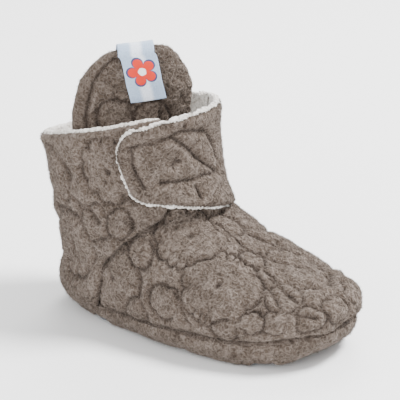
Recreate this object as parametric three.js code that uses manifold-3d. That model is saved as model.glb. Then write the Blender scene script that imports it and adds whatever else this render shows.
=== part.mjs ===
// A baby's ankle-high fleece bootie for the right foot, standing on its sole.
// Millimetres, +Z up, toe towards +X, the shoe's left (the inner side of the foot) towards +Y.
// The whole body is one surface of slanted sections stacked from the sole seam up to the collar.
// Every piece is a patch of that surface between two offsets, or is placed from it.
import * as THREE from "three";
import { mergeVertices } from "three/addons/utils/BufferGeometryUtils.js";
import Module from "manifold-3d";

const wasm = await Module();
wasm.setup();

// Driving dimensions of the last
const FOOT_LENGTH = 122;
const BALL_WIDTH = 63;
const HEEL_WIDTH = 57;
const COLLAR_WIDTH = 56;
const COLLAR_BACK_HEIGHT = 62;
const COLLAR_FRONT_HEIGHT = 78;
const TOE_SWING = 2;

// Where the last changes along the foot, in foot lengths from the heel
const HEEL_WIDTH_END = 0.15;
const BALL_WIDTH_START = 0.6;
const TOE_SWING_START = 0.4;

// Walls and the fits between pieces
const WALL = 3;
const PANEL_STEP = 1.6;
const PANEL_SINK = 0.6;
const CLEARANCE = 0.3;

// Sole, insole and grips
const SOLE_THICKNESS = 3.5;
const SOLE_EDGE_ROUND = 4;
const TOE_SPRING = 4.5;
const HEEL_SPRING = 1;
const ARCH_RISE = 1;
const INSOLE_THICKNESS = 3;
const GRIP_ACROSS_FLATS = 10.4;
const GRIP_THICKNESS = 0.9;
const GRIP_EDGE_MARGIN = 13.1;

// Strap, tongue and ribbon tab
const STRAP_THICKNESS = 3;
const STRAP_TIP_RADIUS = 5;
const STRAP_FRONT_LENGTH = 62;
const TONGUE_THICKNESS = 5;
const TONGUE_TOP_HEIGHT = 101;
const RIBBON_WIDTH = 13;
const RIBBON_THICKNESS = 0.8;
const RIBBON_STAND = 0.55;
const RIBBON_FRONT_LENGTH = 19.5;
const RIBBON_BACK_LENGTH = 12;

// How finely curved pieces are divided
const AROUND = 44;
const PANEL_COLUMNS = 38;
const STRAP_COLUMNS = 20;
const STRAP_ROWS = 5;
const TONGUE_COLUMNS = 12;

// Turns rows of numbers into objects with the named columns.
const table = (columns, rows) =>
  rows.map((row) => Object.fromEntries(row.map((value, i) => [columns[i], value])));

// Body sections from the sole seam, row 0, to the collar edge, the last row.
// Each section's plane passes through its own back and front points.
// X is in foot lengths, back Z in collar back heights, front Z in collar front heights.
// half is a share of the half width, which goes from heel and ball width to collar width by shaft.
// widest is where the section is widest, from back to front, and the rounds are superellipse powers.
const SECTIONS = table(
  ["backX", "backZ", "frontX", "frontZ", "half", "shaft", "widest", "toeRound", "heelRound"],
  [
    [0.012, 0.097, 0.985, 0.13, 0.955, 0, 0.6, 2.35, 2.6],
    [0.003, 0.153, 1.0, 0.177, 0.99, 0, 0.6, 2.35, 2.6],
    [0.001, 0.218, 0.993, 0.228, 1.0, 0, 0.6, 2.35, 2.6],
    [0.001, 0.282, 0.961, 0.279, 0.985, 0.03, 0.59, 2.3, 2.55],
    [0.0, 0.347, 0.904, 0.326, 0.955, 0.1, 0.56, 2.3, 2.5],
    [-0.002, 0.411, 0.832, 0.372, 0.92, 0.25, 0.52, 2.25, 2.45],
    [-0.005, 0.476, 0.75, 0.423, 0.915, 0.45, 0.48, 2.2, 2.4],
    [-0.01, 0.54, 0.664, 0.468, 0.905, 0.65, 0.46, 2.2, 2.35],
    [-0.016, 0.605, 0.589, 0.513, 0.905, 0.85, 0.47, 2.15, 2.3],
    [-0.021, 0.669, 0.533, 0.558, 0.905, 1, 0.5, 2.1, 2.25],
    [-0.027, 0.742, 0.504, 0.647, 0.91, 1, 0.5, 2.1, 2.2],
    [-0.036, 0.819, 0.482, 0.75, 0.92, 1, 0.5, 2.1, 2.15],
    [-0.048, 0.9, 0.469, 0.859, 0.95, 1, 0.5, 2.1, 2.1],
    [-0.073, 1.0, 0.472, 1.0, 1.0, 1, 0.5, 2.1, 2.1],
  ],
);
const COLLAR = SECTIONS.length - 1;

// The vamp's top edge: a section, and the sections that it rises by under the strap on the near
// side, between angles in degrees round from the front.
const THROAT = 9;
const THROAT_RISE = 0.6;
const THROAT_RISE_FULL = 35;
const THROAT_FALL_START = 70;
const THROAT_FALL_END = 115;

// Front edge of the quarter panel on each side, by section, as shares of the section from back to front.
const QUARTER_EDGE = table(
  ["section", "near", "far"],
  [
    [0, 0.235, 0.235],
    [2, 0.26, 0.26],
    [4, 0.3, 0.3],
    [5, 0.36, 0.36],
    [6, 0.455, 0.455],
    [7, 0.57, 0.56],
    [8, 0.7, 0.65],
    [9, 0.86, 0.7],
    [10, 0.93, 0.72],
    [13, 0.93, 0.72],
  ],
);

// Lower and upper edge of the strap from its root on the far side to its tip on the near side.
const STRAP_EDGE = table(
  ["along", "low", "high"],
  [
    [0, 8.8, 13],
    [0.3, 8.75, 13],
    [0.5, 9, 13],
    [0.62, 9.15, 13],
    [0.8, 9.55, 12.95],
    [1, 10, 12.8],
  ],
);
const STRAP_ROOT_SHARE = 0.72;
const STRAP_TIP_SHARE_LOW = 0.78;
const STRAP_TIP_SHARE_HIGH = 0.74;
const STRAP_LIP_GAP = 0.05;
const STRAP_LIFT_START = 0.12;
const STRAP_LIFT_END = 0.62;
const STRAP_TIP_CROWDING = 1.25;

// The tongue's outer face from its root under the vamp's edge to its rounded top.
// rise goes from the root at 0 past the collar's front height, at TONGUE_COLLAR_RISE, to the top at 1.
// forward, in foot lengths, and across, in collar widths, place a line one wall outside the face.
// turn is degrees round towards the near side, roll is degrees that the far edge stands higher,
// width is a share of the full half width, and bow is how far the middle stands out, in collar widths.
const TONGUE = table(
  ["rise", "forward", "across", "turn", "roll", "width", "bow"],
  [
    [0, 0.543, 0, 0, 0, 0.64, 0.125],
    [0.04, 0.536, -0.002, 2, 0, 0.66, 0.125],
    [0.1, 0.508, -0.016, 8, 1, 0.68, 0.115],
    [0.15, 0.475, -0.041, 15, 1, 0.66, 0.105],
    [0.25, 0.401, -0.114, 28, 3, 0.79, 0.1],
    [0.35, 0.335, -0.175, 37, 3, 0.92, 0.09],
    [0.425, 0.309, -0.186, 41, 4, 0.96, 0.08],
    [0.5, 0.304, -0.178, 43, 4, 0.96, 0.07],
    [0.62, 0.307, -0.164, 43, 5, 0.95, 0.065],
    [0.76, 0.305, -0.164, 43, 5, 0.88, 0.05],
    [0.87, 0.308, -0.158, 43, 5, 0.74, 0.035],
    [0.94, 0.311, -0.152, 43, 5, 0.6, 0.02],
    [1, 0.315, -0.145, 43, 5, 0.4, 0.005],
  ],
);
const TONGUE_COLLAR_RISE = 0.5;
const TONGUE_HALF_SHARE = 0.44;
const TONGUE_EDGE_THINNING = 0.45;
const RIBBON_TOP_ACROSS = -0.014;
const RIBBON_END_ACROSS = 0.1;

// Side of the sole from its rim down to the flat underside.
const SOLE_SIDE = table(
  ["height", "inset"],
  [
    [1, 0],
    [0.6, 0.06],
    [0.25, 0.35],
    [0, 1],
  ],
);
const FLOOR_RINGS = [1, 0.66, 0.33, 0];

// Places along the underside, in foot lengths from the heel
const SOLE_FLAT_START = 0.1;
const SOLE_FLAT_END = 0.86;
const FLOOR_LINE_START = 0.16;
const FLOOR_LINE_END = 0.84;
const ARCH_START = 0.3;
const ARCH_FULL = 0.48;
const ARCH_EASE = 0.56;
const ARCH_END = 0.74;

// Grip pads: the first pad's place and the pitch of each row, in foot lengths.
const GRIP_ROWS = table(
  ["side", "first", "pitch"],
  [
    [-1, 0.25, 0.144],
    [0, 0.2, 0.16],
    [1, 0.25, 0.144],
  ],
);
const GRIPS_PER_ROW = 5;
const GRIP_ROW_SPACING = BALL_WIDTH / 2 - GRIP_EDGE_MARGIN;

const lerp = (a, b, share) => a + (b - a) * share;
const clamp = (value, low, high) => Math.min(high, Math.max(low, value));
const smooth = (low, high, value) => {
  const share = clamp((value - low) / (high - low), 0, 1);
  return share * share * (3 - 2 * share);
};
const steps = (count, from = 0, to = 1) =>
  Array.from({ length: count + 1 }, (_, i) => lerp(from, to, i / count));
const radians = THREE.MathUtils.degToRad;

// A smooth curve through the values of one column, at any place between its rows.
function spline(values, place) {
  const last = values.length - 1;
  const i = clamp(Math.floor(place), 0, last - 1);
  const f = place - i;
  const before = i > 0 ? values[i - 1] : 2 * values[0] - values[1];
  const after = i + 2 <= last ? values[i + 2] : 2 * values[last] - values[last - 1];
  const [a, b] = [values[i], values[i + 1]];
  const slopeA = (b - before) / 2;
  const slopeB = (after - a) / 2;
  const square = 3 * (b - a) - 2 * slopeA - slopeB;
  const cube = 2 * (a - b) + slopeA + slopeB;
  return a + f * (slopeA + f * (square + f * cube));
}

// A table's column read at a value of its first column, with straight pieces between the rows.
function read(rows, key, column, value) {
  const passed = rows.filter((row) => row[key] <= value).length;
  const from = clamp(passed - 1, 0, rows.length - 2);
  const share = (value - rows[from][key]) / (rows[from + 1][key] - rows[from][key]);
  return lerp(rows[from][column], rows[from + 1][column], clamp(share, 0, 1));
}

function sectionAt(v) {
  const value = (column) => spline(SECTIONS.map((row) => row[column]), v);
  const shaft = value("shaft");
  const half = value("half") / 2;
  return {
    back: [value("backX") * FOOT_LENGTH, value("backZ") * COLLAR_BACK_HEIGHT],
    front: [value("frontX") * FOOT_LENGTH, value("frontZ") * COLLAR_FRONT_HEIGHT],
    rear: half * lerp(HEEL_WIDTH, COLLAR_WIDTH, shaft),
    fore: half * lerp(BALL_WIDTH, COLLAR_WIDTH, shaft),
    widest: value("widest"),
    toeRound: value("toeRound"),
    heelRound: value("heelRound"),
  };
}

// The foot's centre line bends towards the inner side at the toes.
const centreLine = (x) => TOE_SWING * smooth(TOE_SWING_START, 1, x / FOOT_LENGTH);

// Point of the body's outer surface: angle 0 is the front, positive angles are the far, inner side.
function bodyPoint(angle, v) {
  const s = sectionAt(v);
  const c = Math.cos(angle);
  const round = c >= 0 ? s.toeRound : s.heelRound;
  const reach = Math.sign(c) * Math.abs(c) ** (2 / round);
  const along = s.widest + reach * (c >= 0 ? 1 - s.widest : s.widest);
  const side = Math.sign(Math.sin(angle)) * Math.abs(Math.sin(angle)) ** (2 / round);
  const half = lerp(s.rear, s.fore, smooth(HEEL_WIDTH_END, BALL_WIDTH_START, along));
  const x = lerp(s.back[0], s.front[0], along);
  return new THREE.Vector3(x, side * half + centreLine(x), lerp(s.back[1], s.front[1], along));
}

// Angle at which a section reaches a share of its length from back to front.
function angleAt(v, along) {
  const s = sectionAt(v);
  if (along >= s.widest) {
    return Math.acos(((along - s.widest) / (1 - s.widest)) ** (s.toeRound / 2));
  }
  return Math.acos(-(((s.widest - along) / s.widest) ** (s.heelRound / 2)));
}

const NUDGE = 0.01;
function bodyNormal(angle, v) {
  const low = clamp(v, 0, COLLAR - NUDGE);
  const around = bodyPoint(angle + NUDGE, low).sub(bodyPoint(angle - NUDGE, low));
  const up = bodyPoint(angle, low + NUDGE).sub(bodyPoint(angle, low));
  return around.cross(up).normalize();
}

// Point of the body at a distance out of its surface, negative inwards.
const body = (angle, v, offset) =>
  bodyPoint(angle, v).addScaledVector(bodyNormal(angle, v), offset);

// Angle that a distance along the surface takes at a place.
function angleFor(distance, angle, v) {
  const speed = bodyPoint(angle + NUDGE, v).distanceTo(bodyPoint(angle - NUDGE, v)) / (2 * NUDGE);
  return distance / speed;
}

// Closed geometry from points and faces given by index, with repeated points joined.
function closedGeometry(points, faces) {
  const flat = new Float32Array(points.flatMap((p) => [p.x, p.y, p.z]));
  const loose = new THREE.BufferGeometry();
  loose.setAttribute("position", new THREE.BufferAttribute(flat, 3));
  loose.setIndex(faces.flat());
  const joined = mergeVertices(loose, 1e-3);
  const index = [...joined.index.array];
  const kept = [];
  for (let i = 0; i < index.length; i += 3) {
    const [a, b, c] = index.slice(i, i + 3);
    if (a !== b && b !== c && a !== c) kept.push(a, b, c);
  }
  joined.setIndex(kept);
  return joined;
}

// Faces of a grid of rows and columns, whose points start at an index.
function gridFaces(rows, columns, start, around, flip) {
  const faces = [];
  for (let r = 0; r + 1 < rows; r++) {
    for (let c = 0; c + (around ? 0 : 1) < columns; c++) {
      const next = (c + 1) % columns;
      const a = start + r * columns + c;
      const b = start + r * columns + next;
      const d = start + (r + 1) * columns + c;
      const e = start + (r + 1) * columns + next;
      faces.push(...(flip ? [[a, e, b], [a, d, e]] : [[a, b, e], [a, e, d]]));
    }
  }
  return faces;
}

// A wall between an outer and an inner grid of the same size, closed along its edges.
function wall(outer, inner, around) {
  const rows = outer.length;
  const columns = outer[0].length;
  const count = rows * columns;
  const faces = [
    ...gridFaces(rows, columns, 0, around, false),
    ...gridFaces(rows, columns, count, around, true),
  ];
  const rim = (a, b) => faces.push([a, a + count, b + count], [a, b + count, b]);
  for (let c = 0; c + (around ? 0 : 1) < columns; c++) {
    const next = (c + 1) % columns;
    rim(c, next);
    rim((rows - 1) * columns + next, (rows - 1) * columns + c);
  }
  for (let r = 0; !around && r + 1 < rows; r++) {
    rim((r + 1) * columns, r * columns);
    rim(r * columns + columns - 1, (r + 1) * columns + columns - 1);
  }
  return closedGeometry([...outer.flat(), ...inner.flat()], faces);
}

// A body made of rings, the first and the last of which fold flat onto their centre line.
function rings(list) {
  const faces = gridFaces(list.length, list[0].length, 0, true, false);
  return closedGeometry(list.flat(), faces);
}

const ANGLES = steps(AROUND, 0, 2 * Math.PI).slice(0, AROUND);

// Solid of a closed geometry, for joining.
function solid(geometry) {
  return new wasm.Manifold(
    new wasm.Mesh({
      numProp: 3,
      vertProperties: geometry.attributes.position.array,
      triVerts: new Uint32Array(geometry.index.array),
    }),
  );
}

function geometryOf(joined) {
  const mesh = joined.getMesh();
  const geometry = new THREE.BufferGeometry();
  const points = new Float32Array(mesh.numVert * 3);
  for (let i = 0; i < mesh.numVert; i++) {
    points.set(mesh.vertProperties.subarray(i * mesh.numProp, i * mesh.numProp + 3), i * 3);
  }
  geometry.setAttribute("position", new THREE.BufferAttribute(points, 3));
  geometry.setIndex([...mesh.triVerts]);
  return geometry;
}

// Upper: a closed ring of fleece round the foot up to the throat, and the quarter panel, which
// steps out over it, goes round the heel and carries on up as the shaft to the collar.
const seamLift = (angle) => CLEARANCE / bodyPoint(angle, 1).distanceTo(bodyPoint(angle, 0));

// The ring's top edge, which rises under the strap on the near side.
function throatAt(angle) {
  const near = angle > Math.PI ? 2 * Math.PI - angle : -angle;
  const rising = smooth(0, radians(THROAT_RISE_FULL), near);
  const falling = smooth(radians(THROAT_FALL_START), radians(THROAT_FALL_END), near);
  return THROAT + THROAT_RISE * rising * (1 - falling);
}

function footRing() {
  const levels = steps(THROAT);
  const grid = (offset) =>
    levels.map((share) =>
      ANGLES.map((angle) => body(angle, lerp(seamLift(angle), throatAt(angle), share), offset)),
    );
  return wall(grid(0), grid(-WALL), true);
}

function quarterAngles(v) {
  const near = angleAt(v, read(QUARTER_EDGE, "section", "near", v));
  const far = angleAt(v, read(QUARTER_EDGE, "section", "far", v));
  return steps(PANEL_COLUMNS, far, 2 * Math.PI - near);
}

function quarterPanel() {
  const levels = steps(COLLAR);
  const grid = (offset) =>
    levels.map((share) => {
      const v = share * COLLAR;
      return quarterAngles(v).map((angle) =>
        body(angle, Math.max(v, seamLift(angle)), offset),
      );
    });
  return wall(grid(PANEL_STEP), grid(PANEL_SINK - WALL), false);
}

const upper = geometryOf(solid(footRing()).add(solid(quarterPanel())));

// Strap: goes on from the quarter's far front edge, flush with it, over the front of the shaft,
// and lifts onto the near side of the quarter, where its rounded end is closed down.
function strapGrid(lift) {
  const rootGap = (v, angle) => angle - angleFor(CLEARANCE, angle, v);
  const places = steps(STRAP_COLUMNS).map((share) => 1 - (1 - share) ** STRAP_TIP_CROWDING);
  const height = COLLAR_FRONT_HEIGHT * (SECTIONS[COLLAR].frontZ - SECTIONS[THROAT].frontZ);
  const column = (along) => {
    const cut = clamp(1 - ((1 - along) * STRAP_FRONT_LENGTH) / STRAP_TIP_RADIUS, 0, 1);
    const trim = (STRAP_TIP_RADIUS * (1 - Math.sqrt(1 - cut * cut)) * (COLLAR - THROAT)) / height;
    const low = read(STRAP_EDGE, "along", "low", along) + trim;
    const high = read(STRAP_EDGE, "along", "high", along) - trim;
    const angleOf = (v) => {
      const up = (v - low) / (high - low);
      const root = rootGap(v, angleAt(v, STRAP_ROOT_SHARE));
      const tip = angleAt(v, lerp(STRAP_TIP_SHARE_LOW, STRAP_TIP_SHARE_HIGH, up));
      return lerp(root, -tip, along);
    };
    const lip = Math.max(throatAt(angleOf(THROAT)) + STRAP_LIP_GAP, low + STRAP_LIP_GAP);
    const levels = [low, lip, ...steps(STRAP_ROWS, lip + STRAP_LIP_GAP, high)];
    const out = smooth(STRAP_LIFT_START, STRAP_LIFT_END, along);
    return levels.map((v, i) => body(angleOf(v), v, lift(out, i < 2)));
  };
  const columns = places.map(column).reverse();
  return columns[0].map((_, i) => columns.map((points) => points[i]));
}

const strapUnderside = PANEL_STEP + CLEARANCE;
const strapTop = (out) => lerp(PANEL_STEP, strapUnderside + STRAP_THICKNESS, out);
const strapBottom = (out, lip) => {
  const bottom = lerp(PANEL_SINK - WALL, strapUnderside, out);
  return lip ? Math.max(bottom, 2 * CLEARANCE) : bottom;
};
const strap = wall(strapGrid(strapTop), strapGrid(strapBottom), false);

// Tongue: depth 0 is its outer face, 1 its lining, and it twists towards the near side as it rises.
const tongueRootZ = body(0, THROAT, -WALL).z - WALL;
const tongueRead = (column, rise) => read(TONGUE, "rise", column, rise);
const tongueHalf = (rise) =>
  tongueRead("width", rise) * TONGUE_HALF_SHARE * (COLLAR_WIDTH - 2 * WALL);

function tonguePoint(side, rise, depth) {
  const below = clamp(rise / TONGUE_COLLAR_RISE, 0, 1);
  const above = clamp((rise - TONGUE_COLLAR_RISE) / (1 - TONGUE_COLLAR_RISE), 0, 1);
  const z =
    lerp(tongueRootZ, COLLAR_FRONT_HEIGHT, below) +
    (TONGUE_TOP_HEIGHT - COLLAR_FRONT_HEIGHT) * above;
  const turn = radians(tongueRead("turn", rise));
  const roll = radians(tongueRead("roll", rise));
  const dip = tongueRead("bow", rise) * COLLAR_WIDTH * side * side;
  const thin = 1 - TONGUE_EDGE_THINNING * side ** 4;
  const inset = TONGUE_THICKNESS * ((1 - thin) / 2 + depth * thin);
  const face = new THREE.Vector3(Math.cos(turn), -Math.sin(turn), 0);
  const width = new THREE.Vector3(
    Math.sin(turn) * Math.cos(roll),
    Math.cos(turn) * Math.cos(roll),
    Math.sin(roll),
  );
  const middle = new THREE.Vector3(
    tongueRead("forward", rise) * FOOT_LENGTH,
    tongueRead("across", rise) * COLLAR_WIDTH,
    z,
  );
  return middle
    .addScaledVector(width, side * tongueHalf(rise))
    .addScaledVector(face, -WALL - dip - inset);
}

const TONGUE_SIDES = steps(TONGUE_COLUMNS, -1, 1).map((s) => Math.sin((s * Math.PI) / 2));
const tongueGrid = (depth) =>
  TONGUE.map(({ rise }) => TONGUE_SIDES.map((side) => tonguePoint(side, rise, depth)));
const tongue = wall(tongueGrid(0), tongueGrid(1), false);

// Ribbon tab: lies on the tongue's outer face, folds over its top and lies on the lining.
function ribbonGrid(offset) {
  const riseOver = (length) =>
    1 - ((1 - TONGUE_COLLAR_RISE) * length) / (TONGUE_TOP_HEIGHT - COLLAR_FRONT_HEIGHT);
  const run = (from) => [from, ...TONGUE.map(({ rise }) => rise).filter((rise) => rise > from)];
  const front = run(riseOver(RIBBON_FRONT_LENGTH)).map((rise) => [rise, 0, offset, 0]);
  const back = run(riseOver(RIBBON_BACK_LENGTH)).map((rise) => [rise, 1, -offset, 0]);
  const reach = TONGUE_THICKNESS / 2 + offset;
  const over = [Math.PI / 4, Math.PI / 2, (Math.PI * 3) / 4].map((turn) => [
    1,
    0.5,
    reach * Math.cos(turn),
    (RIBBON_THICKNESS + offset) * Math.sin(turn),
  ]);
  return [...front, ...over, ...back.reverse()].map(([rise, depth, out, lift]) => {
    const turn = radians(tongueRead("turn", rise));
    const down = (1 - rise) / (1 - riseOver(RIBBON_FRONT_LENGTH));
    const across = lerp(RIBBON_TOP_ACROSS, RIBBON_END_ACROSS, down) * COLLAR_WIDTH;
    return [-1, -0.5, 0, 0.5, 1].map((edge) => {
      const side = (across + (edge * RIBBON_WIDTH) / 2) / tongueHalf(rise);
      return tonguePoint(side, rise, depth).add(
        new THREE.Vector3(out * Math.cos(turn), -out * Math.sin(turn), lift),
      );
    });
  });
}

const ribbonOuter = ribbonGrid(RIBBON_STAND + RIBBON_THICKNESS);
const ribbon = wall(ribbonOuter, ribbonGrid(RIBBON_STAND), false);

// Sole: a soft dish, its underside flat under the heel and the forefoot and lifted at both ends.
const undersideZ = (x) => {
  const share = x / FOOT_LENGTH;
  const toe = TOE_SPRING * smooth(SOLE_FLAT_END, 1, share);
  const heel = HEEL_SPRING * (1 - smooth(0, SOLE_FLAT_START, share));
  const rising = smooth(ARCH_START, ARCH_FULL, share);
  const arch = ARCH_RISE * rising * (1 - smooth(ARCH_EASE, ARCH_END, share));
  return GRIP_THICKNESS + CLEARANCE + toe + heel + arch;
};

function soleRing(inset, height) {
  return ANGLES.map((angle) => {
    const point = body(angle, 0, -inset);
    const base = undersideZ(point.x);
    return point.setZ(lerp(base, bodyPoint(angle, 0).z, height));
  });
}

// Rings that fill a floor of a given rise above the underside, from its edge to its centre line.
function floorRings(inset, rise) {
  const from = FOOT_LENGTH * FLOOR_LINE_START;
  const to = FOOT_LENGTH * FLOOR_LINE_END;
  return FLOOR_RINGS.map((share) =>
    ANGLES.map((angle) => {
      const edge = body(angle, 0, -inset);
      const across = body(-angle, 0, -inset);
      const x = lerp(clamp((edge.x + across.x) / 2, from, to), edge.x, share);
      const y = lerp(centreLine(x), edge.y, share);
      return new THREE.Vector3(x, y, undersideZ(x) + rise);
    }),
  );
}

function soleGeometry() {
  const side = SOLE_SIDE.map((row) => soleRing(row.inset * SOLE_EDGE_ROUND, row.height));
  const underside = floorRings(SOLE_EDGE_ROUND, 0).slice(1);
  const rim = soleRing(WALL, 1);
  const inside = floorRings(WALL, SOLE_THICKNESS);
  return rings([...underside.reverse(), ...side.reverse(), rim, ...inside]);
}

// Insole: a soft pad that lies on the sole's floor within the walls.
function insoleGeometry() {
  const inset = WALL + 2 * CLEARANCE;
  const low = floorRings(inset, SOLE_THICKNESS + CLEARANCE);
  const high = floorRings(inset, SOLE_THICKNESS + CLEARANCE + INSOLE_THICKNESS);
  return rings([...low.reverse(), ...high]);
}

// Grip pad: a thin hexagon with its corners to the sides, just under the sole.
function gripMesh(row, place) {
  const radius = GRIP_ACROSS_FLATS / 2 / Math.cos(Math.PI / 6);
  const geometry = new THREE.CylinderGeometry(radius, radius, GRIP_THICKNESS, 6);
  geometry.rotateX(Math.PI / 2);
  const mesh = new THREE.Mesh(geometry);
  const x = FOOT_LENGTH * (row.first + place * row.pitch);
  const corners = [x - GRIP_ACROSS_FLATS / 2, x, x + GRIP_ACROSS_FLATS / 2];
  const top = Math.min(...corners.map(undersideZ)) - CLEARANCE;
  mesh.position.set(x, centreLine(x) + row.side * GRIP_ROW_SPACING, top - GRIP_THICKNESS / 2);
  return mesh;
}

// Finishes
const finish = (color, roughness) =>
  new THREE.MeshStandardMaterial({ color, roughness, metalness: 0, side: THREE.DoubleSide });
const fleece = finish(0x7d6a5b, 1);
const lining = finish(0xe6e1d8, 1);
const ribbonCloth = finish(0x8a97a8, 0.6);
const gripRubber = finish(0x66788c, 0.55);

const bootie = new THREE.Group();
function place(name, geometry, material) {
  const mesh = new THREE.Mesh(geometry, material);
  mesh.name = name;
  bootie.add(mesh);
}

place("upper", upper, fleece);
place("strap", strap, fleece);
place("tongue", tongue, fleece);
place("ribbon_tab", ribbon, ribbonCloth);
place("sole", soleGeometry(), fleece);
place("insole", insoleGeometry(), lining);
GRIP_ROWS.forEach((row, r) => {
  for (let i = 0; i < GRIPS_PER_ROW; i++) {
    const mesh = gripMesh(row, i);
    mesh.name = `grip_${r + 1}_${i + 1}`;
    mesh.material = gripRubber;
    bootie.add(mesh);
  }
});

// The frame's origin is under the middle of the whole bootie, on the plane that it stands on.
const extent = new THREE.Box3().setFromObject(bootie);
bootie.position.set(
  -(extent.min.x + extent.max.x) / 2,
  -(extent.min.y + extent.max.y) / 2,
  -extent.min.z,
);

export default bootie;
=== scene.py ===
import itertools
import math

import bpy
import numpy as np
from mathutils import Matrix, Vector


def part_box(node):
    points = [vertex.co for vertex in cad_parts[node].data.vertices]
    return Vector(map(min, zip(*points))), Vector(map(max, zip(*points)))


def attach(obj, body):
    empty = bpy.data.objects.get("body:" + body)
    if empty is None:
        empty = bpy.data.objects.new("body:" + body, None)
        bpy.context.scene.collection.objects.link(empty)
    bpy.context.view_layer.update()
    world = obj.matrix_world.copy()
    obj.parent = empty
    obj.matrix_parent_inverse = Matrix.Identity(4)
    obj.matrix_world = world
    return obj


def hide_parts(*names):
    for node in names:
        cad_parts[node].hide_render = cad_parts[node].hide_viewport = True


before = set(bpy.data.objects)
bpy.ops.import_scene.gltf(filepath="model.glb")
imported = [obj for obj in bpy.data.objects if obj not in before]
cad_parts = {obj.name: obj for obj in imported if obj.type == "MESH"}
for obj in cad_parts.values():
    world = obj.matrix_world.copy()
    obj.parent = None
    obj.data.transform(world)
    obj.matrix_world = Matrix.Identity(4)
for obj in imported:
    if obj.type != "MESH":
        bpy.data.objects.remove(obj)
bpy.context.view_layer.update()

# Every length below is in millimetres in the shoe's own frame: the heel at 0, the toe towards +X,
# the inner side of the foot towards +Y and the floor at 0. place() turns it into the row's frame.
FOOT_LENGTH = 122.0
BALL_WIDTH = 63.0
HEEL_WIDTH = 57.0
COLLAR_WIDTH = 56.0
COLLAR_BACK_HEIGHT = 62.0
COLLAR_FRONT_HEIGHT = 78.0
TOE_SWING = 2.0
WALL = 3.0
PANEL_STEP = 1.6
CLEARANCE = 0.3
SOLE_THICKNESS = 3.5
SOLE_EDGE_ROUND = 4.0
TOE_SPRING = 4.5
HEEL_SPRING = 1.0
ARCH_RISE = 1.0
INSOLE_THICKNESS = 3.0
GRIP_ACROSS_FLATS = 10.4
GRIP_THICKNESS = 0.9
STRAP_THICKNESS = 3.0
STRAP_TIP_RADIUS = 5.0
STRAP_FRONT_LENGTH = 62.0
TONGUE_THICKNESS = 5.0
TONGUE_TOP_HEIGHT = 101.0
RIBBON_WIDTH = 13.0
RIBBON_THICKNESS = 0.8
RIBBON_FRONT_LENGTH = 17.6
RIBBON_BACK_LENGTH = 12.0

# Sections of the body from the sole seam to the collar, as shares of the sizes above.
SECTION_COLUMNS = (
    "back_x", "back_z", "front_x", "front_z", "half", "shaft", "widest", "toe", "heel",
)
SECTIONS = np.array([
    [0.012, 0.097, 0.985, 0.13, 0.955, 0, 0.6, 2.35, 2.6],
    [0.003, 0.153, 1.0, 0.177, 0.99, 0, 0.6, 2.35, 2.6],
    [0.001, 0.218, 0.993, 0.228, 1.0, 0, 0.6, 2.35, 2.6],
    [0.001, 0.282, 0.961, 0.279, 0.985, 0.03, 0.59, 2.3, 2.55],
    [0.0, 0.347, 0.904, 0.326, 0.955, 0.1, 0.56, 2.3, 2.5],
    [-0.002, 0.411, 0.832, 0.372, 0.92, 0.25, 0.52, 2.25, 2.45],
    [-0.005, 0.476, 0.75, 0.423, 0.915, 0.45, 0.48, 2.2, 2.4],
    [-0.01, 0.54, 0.664, 0.468, 0.905, 0.65, 0.46, 2.2, 2.35],
    [-0.016, 0.605, 0.589, 0.513, 0.905, 0.85, 0.47, 2.15, 2.3],
    [-0.021, 0.669, 0.533, 0.558, 0.905, 1, 0.5, 2.1, 2.25],
    [-0.027, 0.742, 0.504, 0.647, 0.91, 1, 0.5, 2.1, 2.2],
    [-0.036, 0.819, 0.482, 0.75, 0.92, 1, 0.5, 2.1, 2.15],
    [-0.048, 0.9, 0.469, 0.859, 0.95, 1, 0.5, 2.1, 2.1],
    [-0.073, 1.0, 0.472, 1.0, 1.0, 1, 0.5, 2.1, 2.1],
])
COLLAR = len(SECTIONS) - 1.0
THROAT = 9.0
FRONT_Z = SECTION_COLUMNS.index("front_z")

# Shares of the foot between which the width goes from the heel's to the ball's, and the toe swings in.
WIDTH_SPAN = (0.15, 0.6)
SWING_SPAN = (0.4, 1)

# The quarter panel's front edge: section, share from back to front on the near and on the far side.
QUARTER_EDGE = np.array([
    [0, 0.235, 0.235],
    [2, 0.26, 0.26],
    [4, 0.3, 0.3],
    [5, 0.36, 0.36],
    [6, 0.455, 0.455],
    [7, 0.57, 0.56],
    [8, 0.7, 0.65],
    [9, 0.86, 0.7],
    [10, 0.93, 0.72],
    [13, 0.93, 0.72],
])

# The strap's lower and upper edge, as sections, from its root on the far side to its tip.
STRAP_EDGE = np.array([
    [0, 8.8, 13],
    [0.3, 8.75, 13],
    [0.5, 9.1, 13],
    [0.62, 9.4, 13],
    [0.8, 9.8, 12.95],
    [1, 10.1, 12.8],
])
STRAP_ROOT_SHARE = 0.695
STRAP_TOP_CORNER = 1.5
STRAP_TIP_SHARE_LOW = 0.765
STRAP_TIP_SHARE_HIGH = 0.74
STRAP_LIFT_SPAN = (0.12, 0.62)

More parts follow.
